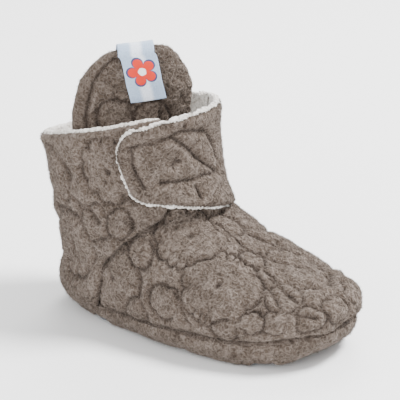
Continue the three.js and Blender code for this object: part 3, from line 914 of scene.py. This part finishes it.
def resampled(points, spacing):
    """Points at about an even spacing along a line through a list of points."""
    lengths = travelled(points)
    at = np.linspace(0, lengths[-1], int(lengths[-1] / spacing))
    return np.stack([np.interp(at, lengths, points[:, i]) for i in range(3)], axis=-1)


def make_shaft_lining():
    """The shaft's lining, nearer to the surface above the vamp, and most so at its two ends."""
    v = np.linspace(COLLAR, LINING_LOWEST, 120)
    near, far = edge_angles(v)
    shares = np.linspace(0, 1, LINING_COLUMNS)
    ends = 1.4 * (1 - smooth(0, 0.06, shares)) + 1.8 * smooth(0.97, 1, shares)
    rise = ends * smooth(9.4, 10, v)[:, None] + 0.8 * smooth(8.6, 9.6, v)[:, None]
    end = 2 * math.pi - near - 0.015
    make_lining("shaft_lining", far - 0.3, end, v, rise - LINING_DEPTH, LINING_COLUMNS)


def make_foot_lining():
    v = np.linspace(THROAT, LINING_LOWEST, 70)
    near, far = edge_angles(v)
    make_lining("foot_lining", -near - 0.1, far + 0.1, v, -FOOT_LINING_DEPTH, FOOT_LINING_COLUMNS)


def make_collar_roll():
    near, far = (float(a) for a in edge_angles(np.array(COLLAR)))
    angles = np.linspace(far - 0.1, 2 * math.pi - near - 0.01, 500)
    _, up, out = body_axes(angles, np.full_like(angles, COLLAR))
    path = body_point(angles, np.full_like(angles, COLLAR)) - out * 1.6 - up * 0.7
    radius = COLLAR_ROLL_RADIUS * (1 - 0.7 * smooth(0.97, 1, np.linspace(0, 1, len(path))))
    pile_roll("collar_roll", path, out, radius, 14, 1.0)


# Strap: one sheet from its root on the far side to its tip, with a lining and a rolled pale edge.
def strap_frame(along, up):
    """Angle and section of places on the strap, and how far it has lifted off the shaft."""
    cut = np.clip(1 - (1 - along) * STRAP_FRONT_LENGTH / STRAP_TIP_RADIUS, 0, 1)
    height = COLLAR_FRONT_HEIGHT * (SECTIONS[-1, FRONT_Z] - SECTIONS[int(THROAT), FRONT_Z])
    trim = STRAP_TIP_RADIUS * (1 - np.sqrt(1 - cut * cut)) * (COLLAR - THROAT) / height
    low = read(STRAP_EDGE, 1, along) + trim
    high = read(STRAP_EDGE, 2, along) - trim * STRAP_TOP_CORNER
    v = lerp(low, high, up)
    root = angle_at(v, STRAP_ROOT_SHARE)
    tip = angle_at(v, lerp(STRAP_TIP_SHARE_LOW, STRAP_TIP_SHARE_HIGH, up))
    lift = smooth(*STRAP_LIFT_SPAN, along)
    return lerp(root, -tip, along), v, lift


STRAP_UNDERSIDE = PANEL_STEP + CLEARANCE


def strap_face(along, up, sink=0.0):
    """Points on the strap's outer face or sunk under it, and how far the strap has lifted."""
    angle, v, lift = strap_frame(along, up)
    top = lerp(PANEL_STEP, STRAP_UNDERSIDE + STRAP_THICKNESS, lift)
    return body(angle, v, top - sink), lift


# Sewn lines of the strap: angle in degrees, share of the way up from its lower edge.
STRAP_LINES = [
    [(-52.5, 0.84), (-45, 0.84), (-37.5, 0.85), (-29.6, 0.86), (-21.4, 0.9), (-12.5, 0.88),
     (-0.5, 0.84)],
    [(-0.5, 0.84), (6.5, 0.69), (10, 0.56), (8, 0.44)],
    [(-26.6, 0.86), (-18.3, 0.75), (-12.9, 0.66), (-5.3, 0.53), (5, 0.45)],
    [(-37.3, 0.35), (-27.7, 0.36), (-16, 0.38), (-5.5, 0.42), (8, 0.44)],
    [(-52.5, 0.84), (-53, 0.64), (-50.3, 0.46), (-49, 0.3)],
    [(-18.8, 1.0), (-18.7, 0.92)],
    [(-15.3, 0.28), (-13.5, 0.12)],
    [(-28.2, 0.55), (-26.8, 0.6), (-23.4, 0.6)],
    [(30, 0.98), (34, 0.6), (31, 0.35), (36, 0.05)],
]
STRAP_RIM = 1.9
STRAP_HEIGHT = 28.0
STRAP_TIP_START = 0.93
STRAP_PAD_RISE = 2.6
STRAP_PAD_ROUND = 1.5
RIM_RADIUS = 0.78
RIM_TOP_SHARE = 1.35
STRAP_MIDDLE = np.array([28.0, 0.0, 0.0])


def on_strap(pairs):
    """Points on the strap's outer face from pairs of an angle in degrees and a share of its height."""
    alongs = np.linspace(0, 1, 200)
    line = []
    for degrees, up in pairs:
        angle, _, _ = strap_frame(alongs, np.full_like(alongs, up))
        along = np.interp(-math.radians(degrees), -angle, alongs)
        line.append(strap_face(np.array(along), np.array(up))[0])
    return line


def make_strap_fleece():
    tip = np.sin(np.linspace(0, math.pi / 2, 34)[1:])
    alongs = np.concatenate([np.linspace(0, STRAP_TIP_START, 250), lerp(STRAP_TIP_START, 1, tip)])
    along, up = np.meshgrid(alongs[::-1], edged(150, STRAP_HEIGHT))
    flat, lift = strap_face(along, up)
    border = np.concatenate([flat[0], flat[:, 0], flat[-1]])
    gap = np.full(along.shape, FAR)
    for point in border[::4]:
        gap = np.minimum(gap, reach(flat - point))
    drop = rolled(np.minimum(gap - 0.3, 9), STRAP_RIM) * np.maximum(lift, 0.35)
    angle, v, _ = strap_frame(along, up)
    points = flat - body_axes(angle, v)[2] * drop[..., None]
    sewn = quilting(points, [], [on_strap(line) for line in STRAP_LINES])
    calm = smooth(0, 2.0, gap) * 0.7 + 0.3
    piece = fleece_grid(
        "strap_fleece", points, sewn, brown,
        rise=STRAP_PAD_RISE, calm=calm, slack=0.1, soft=STRAP_PAD_ROUND,
    )
    ride(piece, "fleece", "strap")


def make_strap_lining():
    along, up = np.meshgrid(np.linspace(0, 0.985, 120), np.linspace(0, 0.995, 50))
    _, _, lift = strap_frame(along, up)
    under, _ = strap_face(along, up, lerp(3.2, 2.5, lift))
    piece = fleece_grid("strap_lining", under, plain(under), white, rise=0.0, curl=0.5)
    ride(piece, "lining")


def make_strap_roll():
    """The pale roll along the strap's upper edge, round its tip and halfway back below."""
    along = np.concatenate([np.linspace(0, 1, 200), np.ones(40), np.linspace(1, 0.5, 140)])
    up = np.concatenate([np.ones(200), np.linspace(1, 0, 40), np.zeros(140)])
    path = resampled(strap_face(along, up, STRAP_RIM)[0], 0.5)
    outs = (path - STRAP_MIDDLE) * [1, 1, 0]
    share = np.linspace(0, 1, len(path))
    radius = RIM_RADIUS * lerp(RIM_TOP_SHARE, 1.0, smooth(0.3, 0.5, share))
    radius = radius * (1 - 0.5 * smooth(0.9, 1, share))
    pile_roll("strap_roll", path, outs, radius, 12, 1.3)


def tongue_frame(rise):
    """Middle of the tongue's outer face, its width and face directions, half width and bow."""
    forward, across, turn, roll, width, bow = (read(TONGUE, i, rise) for i in range(1, 7))
    below = np.clip(rise / TONGUE_COLLAR_RISE, 0, 1)
    above = np.clip((rise - TONGUE_COLLAR_RISE) / (1 - TONGUE_COLLAR_RISE), 0, None)
    root = body(np.array(0.0), np.array(THROAT), -WALL)[2] - WALL
    z = lerp(root, COLLAR_FRONT_HEIGHT, below) + (TONGUE_TOP_HEIGHT - COLLAR_FRONT_HEIGHT) * above
    turn, roll = np.radians(turn), np.radians(roll)
    face = np.stack([np.cos(turn), -np.sin(turn), np.zeros_like(turn)], axis=-1)
    wide = np.stack([np.sin(turn) * np.cos(roll), np.cos(turn) * np.cos(roll), np.sin(roll)], axis=-1)
    middle = np.stack([forward * FOOT_LENGTH, across * COLLAR_WIDTH, z], axis=-1)
    half = width * TONGUE_HALF_SHARE * (COLLAR_WIDTH - 2 * WALL)
    return middle - face * WALL, wide, face, half, bow * COLLAR_WIDTH


def tongue_point(side, rise, depth):
    """Points of the tongue: side from -1 to 1, depth in millimetres behind its outer face."""
    middle, wide, face, half, bow = tongue_frame(rise)
    back = bow * side * side + depth
    return middle + wide * (side * half)[..., None] - face * back[..., None]


TONGUE_BAND = 4.4
TONGUE_LIFT = 0.4
TONGUE_SHIFT = -0.8
TONGUE_PAD_RISE = 1.5
TONGUE_COLUMNS = 310

# Rises where the tongue starts, rounds in and ends, and the length of one whole rise.
TONGUE_LOWEST = 0.1
TONGUE_ROUND = 0.93
TONGUE_TOP = 1.022
RISE_LENGTH = 46.0

# The tongue's quilted flowers and sewn lines, in side and rise.
TONGUE_FLOWERS = [(-0.3, 0.47, 8.0, 2, 70), (0.25, 0.44, 8.0, 2, 110)]
TONGUE_LINES = [[(0.42, 0.56), (0.44, 0.44)], [(-0.1, 0.55), (-0.04, 0.44)]]


def on_tongue(side, rise):
    return tongue_point(np.array(side), np.array(rise), np.array(0.0))


def tongue_flowers():
    flowers = []
    for side, rise, radius, petals, spin in TONGUE_FLOWERS:
        _, wide, face, _, _ = tongue_frame(np.array(rise))
        up = np.cross(face, wide)
        flowers.append((on_tongue(side, rise), wide, up, radius, petals, math.radians(spin)))
    return flowers


def make_tongue():
    crown = lerp(TONGUE_ROUND, TONGUE_TOP, np.sin(np.linspace(0, math.pi / 2, 24)[1:]))
    rises = np.concatenate([np.linspace(TONGUE_LOWEST, TONGUE_ROUND, 130), crown])
    turns = np.linspace(-0.5 * math.pi, 1.5 * math.pi, TONGUE_COLUMNS, endpoint=False)
    rise, turn = np.meshgrid(rises, turns, indexing="ij")
    side = np.sign(np.sin(turn)) * np.abs(np.sin(turn)) ** 0.85
    thick = TONGUE_THICKNESS / 2 * np.abs(np.cos(turn)) ** 0.55 * np.sign(np.cos(turn))
    taper = np.sqrt(np.maximum(1 - smooth(TONGUE_ROUND, TONGUE_TOP, rise) ** 2, 0.0025))
    middle, wide, face, half, bow = tongue_frame(np.minimum(rise, 1))
    over = (rise - np.minimum(rise, 1)) * RISE_LENGTH + TONGUE_LIFT * smooth(0.5, 1, rise)
    middle = middle + np.array([0, 0, 1.0]) * over[..., None]
    narrow = lerp(1.0, 0.25, smooth(0.955, TONGUE_TOP, rise))
    across = side * (half + 0.4) * narrow + TONGUE_SHIFT * smooth(0.2, 0.5, rise)
    back = bow * side * side + TONGUE_THICKNESS / 2 - thick * taper
    points = middle + wide * across[..., None] - face * back[..., None]
    front = smooth(-0.3, 0.1, np.cos(turn))
    edge = np.minimum((1 - np.abs(side)) * half, (TONGUE_TOP - rise) * RISE_LENGTH)
    inner = smooth(TONGUE_BAND - 0.5, TONGUE_BAND + 1.5, edge) * front
    band = smooth(0.35, -0.1, side)
    lines = [[on_tongue(*spot) for spot in line] for line in TONGUE_LINES]
    distance, _ = quilting(points, tongue_flowers(), lines)
    distance = distance + 6 * (1 - inner)
    stitched = np.abs(edge - TONGUE_BAND) + 6 * (1 - front) + 5 * (1 - band)
    distance = np.minimum(distance, stitched)
    pile = curls(points)
    pad = 1 - np.exp(-distance / PAD_ROUND)
    rough = lerp(0.35, 1.0, np.maximum(inner, 1 - band))
    lift = TONGUE_PAD_RISE * (pad - PAD_MIDDLE) * front + CURL_RISE * (pile - 0.5) * rough
    done = points + grid_normals(points, True) * lift[..., None]
    fuzzed.append((done, grid_normals(done, True)))
    lined = smooth(0.25, 0.5, -np.cos(turn)) * smooth(2.2, 3.2, edge + 1.2)
    # The tongue's sewn lines get painted shade in their grooves, on its front only.
    values = {
        "pile": lerp(0.5, pile, rough),
        "seam_shade": np.exp(-distance / SEAM_SHADE_WIDTH) * front,
        "lined": lined,
    }
    faces = grid_faces(len(rises), len(turns), True)
    piece = new_mesh("tongue_fleece", done, faces, tongue_cloth, values)
    return ride(piece, "fleece", "tongue")


def underside_z(x):
    share = x / FOOT_LENGTH
    toe = TOE_SPRING * smooth(0.86, 1, share)
    heel = HEEL_SPRING * (1 - smooth(0, 0.1, share))
    arch = ARCH_RISE * smooth(0.3, 0.48, share) * (1 - smooth(0.56, 0.74, share))
    return GRIP_THICKNESS + CLEARANCE + toe + heel + arch + toe_curl(x)


def sole_outline(angles, inset):
    """The sole's outline at its seam with the upper, moved inwards."""
    return body(angles, np.zeros_like(angles), np.full_like(angles, -inset))


# Shares of the foot between which the rings of the sole's floor close on its middle line.
MIDDLE_LINE = (0.16, 0.84)
SOLE_COLUMNS = 520
SOLE_RINGS = 74
SOLE_ROUND_ROWS = 36

# The ledge under the vamp's seam: how far in each ring lies, and how much of its relief it keeps.
LEDGE_INSETS = (0.6, 1.2, 2.2, 3.5)
LEDGE_CALM = (0.6, 0.3, 0.15, 0.1)
SOLE_PILE_DROP = 1.1
SOLE_LOWEST = 0.2
SOLE_FULLNESS = 1.35
SOLE_FLOWER_RADIUS = 12.5
PAD_LIFT = 0.7
PAD_SHARE = 0.96
PAD_INWARD = 1.6
PAD_EDGE = (5.5, 6.5)


def floor_rings(angles, inset, shares):
    """Rings at the underside's level, from the sole's middle line at 0 to its moved outline at 1."""
    edge = sole_outline(angles, inset)
    mirror = sole_outline(-angles, inset)
    start, end = (share * FOOT_LENGTH for share in MIDDLE_LINE)
    middle = np.clip((edge[:, 0] + mirror[:, 0]) / 2, start, end)
    shares = np.asarray(shares)[:, None]
    x = lerp(middle, edge[:, 0], shares)
    y = lerp(centre_line(x), edge[:, 1], shares)
    return np.stack([x, y, underside_z(x)], axis=-1)


def grip_nodes():
    return sorted(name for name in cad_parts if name.startswith("grip_"))


def make_sole():
    angles = even_angles([0.0], [-math.pi], [math.pi], np.linspace(0, 1, SOLE_COLUMNS + 1))[0][:-1]
    rows = list(floor_rings(angles, SOLE_EDGE_ROUND, np.linspace(0, 1, SOLE_RINGS) ** 0.85))
    levels = [0.0] * len(rows)
    for turn in np.linspace(0, math.pi / 2, SOLE_ROUND_ROWS)[1:]:
        ring = sole_outline(angles, SOLE_EDGE_ROUND * (1 - math.sin(turn)))
        level = (1 - math.cos(turn)) ** SOLE_FULLNESS
        ring[:, 2] = lerp(underside_z(ring[:, 0]), body_point(angles, 0.0)[:, 2], level)
        rows.append(ring)
        levels.append(level)
    for inset in LEDGE_INSETS:
        rows.append(sole_outline(angles, inset))
        levels.append(1.0)
    points = np.array(rows)
    levels = np.array(levels)[:, None]
    clear = np.full(points.shape[:2], FAR)
    for node in grip_nodes():
        centre = box_centre(node) - SHIFT
        clear = np.minimum(clear, reach(points[..., :2] - centre[:2]))
    around_pad = smooth(*PAD_EDGE, clear) * (1 - smooth(0.0, 0.15, levels))
    points[..., 2] = np.maximum(points[..., 2] - SOLE_PILE_DROP * around_pad, SOLE_LOWEST)
    distance, dimples = quilting(points, sole_flowers())
    distance = distance + 5 * smooth(0.02, 0.3, levels)
    distance = np.minimum(distance, (1 - levels) * 6 + 0.5)
    distance = np.minimum(distance, 0.4 + np.abs(clear - PAD_EDGE[0]))
    calm = lerp(0.25, 1.0, smooth(0, 0.3, levels))
    calm[-len(LEDGE_CALM):, 0] = LEDGE_CALM
    piece = fleece_grid("sole_fleece", points, (distance, dimples), brown, around=True, calm=calm)
    return ride(piece, "fleece", "sole")


def sole_flowers():
    """Flowers of seven petals in staggered rows across the underside."""
    flowers = []
    across, up = np.eye(3)[:2]
    for i, x in enumerate(np.linspace(14, 108, 5)):
        for y in ((-14, 14) if i % 2 else (-1, -25, 25)):
            centre = np.array([x, y + centre_line(x), underside_z(x)])
            flowers.append((centre, across, up, SOLE_FLOWER_RADIUS, 7, 0.4 * i))
    return flowers


def make_insole():
    angles = np.linspace(-math.pi, math.pi, 180, endpoint=False)
    shares = np.concatenate([[1.0, 1.015], np.linspace(0.985, 0, 60)])
    drops = np.zeros(len(shares))
    drops[:2] = 3.0, 1.6
    points = floor_rings(angles, WALL + 2 * CLEARANCE, shares)
    points[..., 2] += SOLE_THICKNESS + CLEARANCE + INSOLE_THICKNESS - drops[:, None]
    piece = fleece_grid("insole_pile", points, plain(points), white, around=True, curl=0.7)
    ride(piece, "lining", "insole")
    return piece


make_vamp()
make_quarter()
make_shaft_lining()
make_foot_lining()
make_collar_roll()
make_strap_fleece()
make_strap_lining()
make_strap_roll()
make_tongue()
make_sole()
make_insole()


# Ribbon: a folded woven tab over the tongue's top, with a small flower on its front.
RIBBON_BLUE = (0.33, 0.42, 0.56)
RIBBON_PALE = (0.66, 0.71, 0.80)
RIBBON_STOPS = [(0.30, RIBBON_BLUE), (0.40, RIBBON_PALE), (0.60, RIBBON_PALE), (0.70, RIBBON_BLUE)]
RIBBON_SHADES = [(0.3, (0.82, 0.82, 0.84)), (0.7, (1.12, 1.12, 1.1))]
satin = grained_material(
    "ribbon_satin", 0.42, 0.2, 2600, 2.0, RIBBON_SHADES, 0.5, "across", RIBBON_STOPS,
)

RIBBON_STAND = 0.8
RIBBON_FACE = RIBBON_STAND + 0.6 * RIBBON_THICKNESS
RIBBON_TOP_ACROSS = -0.036
RIBBON_END_ACROSS = 0.07
RIBBON_LOWER = 2.0
RIBBON_BEND = 0.6
FOLD_START = 0.45
FOLD_END = 0.55


def rise_below_top(length):
    """The tongue's rise at a length down from its top."""
    return 1 - (1 - TONGUE_COLLAR_RISE) * length / (TONGUE_TOP_HEIGHT - COLLAR_FRONT_HEIGHT)


def ribbon_point(across, lift, share):
    """Points of the ribbon from its front end, over the tongue's top, to its back end."""
    front = rise_below_top(RIBBON_FRONT_LENGTH)
    back = rise_below_top(RIBBON_BACK_LENGTH)
    rising = lerp(front, 1.0, np.clip(share / FOLD_START, 0, 1))
    falling = lerp(1.0, back, np.clip((share - FOLD_END) / (1 - FOLD_END), 0, 1))
    rise = np.where(share < 0.5, rising, falling)
    over = np.clip((share - FOLD_START) / (FOLD_END - FOLD_START), 0, 1)
    down = np.clip((1 - rise) / (1 - front), 0, 1)
    across = across + lerp(RIBBON_TOP_ACROSS, RIBBON_END_ACROSS, down ** RIBBON_BEND) * COLLAR_WIDTH
    middle, wide, face, half, bow = tongue_frame(rise)
    side = across / half
    depth = TONGUE_THICKNESS / 2 - (TONGUE_THICKNESS / 2 + lift) * np.cos(over * math.pi)
    points = middle + wide * across[..., None] - face * (bow * side * side + depth)[..., None]
    hump = (TONGUE_THICKNESS / 2 + lift) * np.sin(over * math.pi) - RIBBON_LOWER
    return points + np.array([0, 0, 1.0]) * hump[..., None]


SAG = 0.25
SAG_PITCH = 7.0
RIBBON_RUN = 60


def ribbon_sag(across, share):
    spots = np.stack([share * RIBBON_RUN, across, np.zeros_like(share)], axis=-1)
    return SAG * noise(spots, SAG_PITCH, SEEDS["sag"])


def make_ribbon():
    fold = np.linspace(FOLD_START, FOLD_END, 16)
    shares = [np.linspace(0, FOLD_START, 46)[:-1], fold, np.linspace(FOLD_END, 1, 30)[1:]]
    share, edge = np.meshgrid(np.concatenate(shares), np.linspace(-1, 1, 27), indexing="ij")
    across = edge * RIBBON_WIDTH / 2
    sag = ribbon_sag(across, share)
    outer = ribbon_point(across, RIBBON_FACE + sag, share)
    inner = ribbon_point(across, RIBBON_STAND + sag, share)
    rows, columns = share.shape
    count = rows * columns
    faces = [grid_faces(rows, columns), grid_faces(rows, columns, start=count)[:, ::-1]]
    index = np.arange(count).reshape(rows, columns)
    for line, flip in ((index[0], False), (index[-1], True), (index[:, 0], True), (index[:, -1], False)):
        quads = np.stack([line[:-1], line[:-1] + count, line[1:] + count, line[1:]], -1)
        faces.append(quads[:, ::-1] if flip else quads)
    points = np.concatenate([outer.reshape(-1, 3), inner.reshape(-1, 3)])
    values = {"across": np.concatenate([(edge / 2 + 0.5).ravel()] * 2)}
    piece = new_mesh("ribbon_satin", points, np.concatenate(faces), satin, values)
    return ride(piece, "ribbon", "ribbon_tab")


# A small sewn flower of five petals on the ribbon's front.
BLOOM_RADIUS = 5.8
BLOOM_PETALS = 5
BLOOM_SHARE = 0.285
BLOOM_STAND = 0.25
BLOOM_CORE = 0.24
BLOOM_VALLEY = 0.52
BLOOM_RIM = 0.9
CREAM = (0.78, 0.77, 0.75)
NAVY = (0.03, 0.045, 0.12)
BLOOM_STOPS = [
    (0.0, CREAM),
    (0.20, CREAM),
    (0.26, (0.55, 0.022, 0.008)),
    (0.84, (0.60, 0.03, 0.012)),
    (0.90, NAVY),
    (1.0, NAVY),
]
EVEN = [(0.0, (1, 1, 1)), (1.0, (1, 1, 1))]
thread = grained_material("bloom_thread", 0.6, 0.2, 3000, 1.0, EVEN, 0.6, "ink", BLOOM_STOPS)


def make_bloom():
    turn, share = np.meshgrid(np.linspace(0, 2 * math.pi, 121)[:-1], np.linspace(0, 1, 26))
    petal = np.abs(np.sin(turn * BLOOM_PETALS / 2))
    radius = BLOOM_RADIUS * lerp(BLOOM_VALLEY, 1, petal ** 0.6)
    across = np.cos(turn) * share * radius
    up = np.sin(turn) * share * radius
    place_share = BLOOM_SHARE + up / RIBBON_FRONT_LENGTH * FOLD_START
    rounded = np.sqrt(np.maximum(1 - share ** 6, 0))
    stand = RIBBON_FACE + BLOOM_STAND * rounded + ribbon_sag(across, place_share)
    points = ribbon_point(across, stand, place_share)
    ink = 1 - (1 - share) * radius / (BLOOM_RADIUS * BLOOM_RIM)
    ink = np.where(share * radius < BLOOM_RADIUS * BLOOM_CORE, 0.0, np.maximum(ink, 0.3))
    faces = grid_faces(*turn.shape, around=True)
    piece = new_mesh("ribbon_bloom", points, faces, thread, {"ink": ink})
    return ride(piece, "ribbon")


make_ribbon()
make_bloom()


# Grips: soft hexagonal pads with a raised rim.
GRIP_SHADES = [(0.3, (0.050, 0.062, 0.077)), (0.7, (0.076, 0.092, 0.110))]
CORNER_SHARE = 0.965

# The pad's profile from its back to its middle: share of its radius, level from its underside at 0
# to its back at 1, and rise above that.
GRIP_PROFILE = [
    (0.94, 1, 0.6),
    (1.0, 1, 0.3),
    (1.0, 0.35, 0),
    (0.965, 0, 0.08),
    (0.91, 0, 0),
    (0.84, 0, 0),
    (0.79, 0, 0.18),
    (0.72, 0, 0.24),
    (0.4, 0, 0.24),
    (0.0, 0, 0.24),
]


def hexagon(radius, count=60):
    """Points round a hexagon with softened corners, its corners to the sides."""
    turn = np.linspace(0, 2 * math.pi, count, endpoint=False)
    sector = math.pi / 6
    fold = (turn + sector) % (2 * sector) - sector
    out = radius * np.minimum(math.cos(sector) / np.cos(fold), CORNER_SHARE)
    return np.stack([np.sin(turn + sector) * out, np.cos(turn + sector) * out], axis=-1)


def make_grips():
    rubber = grained_material("grip_rubber", 0.5, 0.0, 900, 3.0, GRIP_SHADES, 0.4)
    ring = hexagon(GRIP_ACROSS_FLATS / math.sqrt(3) * PAD_SHARE)
    for node in grip_nodes():
        low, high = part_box(node)
        centre = box_centre(node) - SHIFT
        centre[1] -= PAD_INWARD * np.sign(np.round(centre[1] / 10))
        if node.endswith("_5"):
            centre[0] -= PAD_INWARD
        points = np.zeros((len(GRIP_PROFILE), len(ring), 3))
        for row, (share, level, rise) in zip(points, GRIP_PROFILE):
            row[:, :2] = ring * share + centre[:2]
            row[:, 2] = lerp(low.z * METRE + PAD_LIFT, high.z * METRE, level) + rise
        points[..., 2] += toe_curl(points[..., 0])
        faces = grid_faces(*points.shape[:2], True)
        piece = new_mesh(node.replace("grip", "grip_pad"), points, faces, rubber, {})
        ride(piece, "grip", node)


make_grips()


# Loose fibres that soften the fleece's outline.
FIBRES = 150000
FIBRE_LENGTH = 0.95
FIBRE_WIDTH = 0.13
FIBRE_LEAN = 0.9
FIBRE_ROOT = 0.2
FIBRE_LOWEST = 0.05


def make_fuzz():
    """One blade of three corners for each fibre, spread evenly over the fleece, none under the floor."""
    random = np.random.default_rng(7)
    areas = []
    for points, _ in fuzzed:
        across = reach(np.diff(points, axis=1)[:-1])
        areas.append(across * reach(np.diff(points, axis=0)[:, :-1]))
    total = sum(area.sum() for area in areas)
    roots = []
    normals = []
    for (points, outward), area in zip(fuzzed, areas):
        count = int(FIBRES * area.sum() / total)
        cells = random.choice(area.size, count, p=area.ravel() / area.sum())
        i, j = np.unravel_index(cells, area.shape)
        f, g = random.random((2, count, 1))
        low = points[i, j] * (1 - f) + points[i, j + 1] * f
        high = points[i + 1, j] * (1 - f) + points[i + 1, j + 1] * f
        roots.append(low * (1 - g) + high * g)
        normals.append(outward[i, j])
    roots = np.concatenate(roots)
    normals = np.concatenate(normals)
    lean = random.normal(size=roots.shape)
    heading = unit(normals + FIBRE_LEAN * unit(lean))
    side = unit(np.cross(heading, random.normal(size=roots.shape)))
    length = FIBRE_LENGTH * random.uniform(0.5, 1.2, (len(roots), 1))
    falling = -heading[:, 2:].clip(max=-FIBRE_LOWEST)
    length = np.minimum(length, np.where(heading[:, 2:] < 0, roots[:, 2:] / falling, FAR))
    base = roots - normals * FIBRE_ROOT
    wide = side * FIBRE_WIDTH / 2
    corners = np.stack([base - wide, base + wide, roots + heading * length], axis=1)
    faces = np.arange(corners.shape[0] * 3).reshape(-1, 3)
    shade = np.repeat(random.uniform(0.3, 1.0, len(roots)), 3)
    values = {"pile": shade, "seam_shade": np.zeros(len(shade))}
    return ride(new_mesh("fleece_fuzz", corners, faces, brown, values), "fleece")


make_fuzz()


# Camera, floor and light, in metres
CAMERA_AZIMUTH = math.radians(38.6)
CAMERA_HEIGHT = math.radians(18.8)
CAMERA_DISTANCE = 0.7546
PHOTO_FOCAL = 1243.6
FRAME_SIDE = 400
CLOSER = 1.68
SENSOR = 36.0
AIM_HEIGHT = 0.045
AIM_RIGHT = 0.0014
AIM_UP = 0.0013
FLOOR_SIDE = 3.0
LIGHT_AIM = Vector((0, 0, 0.04))


def turn_to(thing, direction):
    thing.rotation_euler = direction.to_track_quat("-Z", "Y").to_euler()


def make_camera():
    forward = Vector((
        -math.sin(CAMERA_AZIMUTH) * math.cos(CAMERA_HEIGHT),
        math.cos(CAMERA_AZIMUTH) * math.cos(CAMERA_HEIGHT),
        -math.sin(CAMERA_HEIGHT),
    ))
    right = forward.cross(Vector((0, 0, 1))).normalized()
    data = bpy.data.cameras.new("camera")
    data.sensor_width = SENSOR
    data.lens = PHOTO_FOCAL * CLOSER * SENSOR / FRAME_SIDE
    data.clip_start = 0.01
    camera = new_object("camera", data)
    camera.location = Vector((0, 0, AIM_HEIGHT)) - forward * CAMERA_DISTANCE
    camera.location += right * AIM_RIGHT + right.cross(forward) * AIM_UP
    turn_to(camera, forward)
    bpy.context.scene.camera = camera


def make_floor():
    side = FLOOR_SIDE
    mesh = bpy.data.meshes.new("floor")
    corners = [(-side, -side, 0), (side, -side, 0), (side, side, 0), (-side, side, 0)]
    mesh.from_pydata(corners, [], [(0, 1, 2, 3)])
    shades = [(0.3, (0.87, 0.87, 0.87)), (0.7, (0.9, 0.9, 0.9))]
    mesh.materials.append(grained_material("floor_pale", 0.7, 0.0, 3.0, 2.0, shades, 0.0))
    new_object("floor", mesh)


def make_light(name, location, size, power):
    data = bpy.data.lights.new(name, "AREA")
    data.shape = "DISK"
    data.size = size
    data.energy = power
    light = new_object(name, data)
    light.location = location
    turn_to(light, LIGHT_AIM - light.location)


make_camera()
make_floor()
make_light("key", (0.45, 0.5, 1.05), 0.45, 44)
make_light("fill", (0.15, -1.1, 0.2), 0.8, 17)
make_light("rim", (-0.5, 0.8, 0.8), 0.7, 12)
world = bpy.data.worlds.new("studio")
world.use_nodes = True
background = world.node_tree.nodes["Background"]
background.inputs["Color"].default_value = (1, 1, 1, 1)
background.inputs["Strength"].default_value = 1.25
bpy.context.scene.world = world
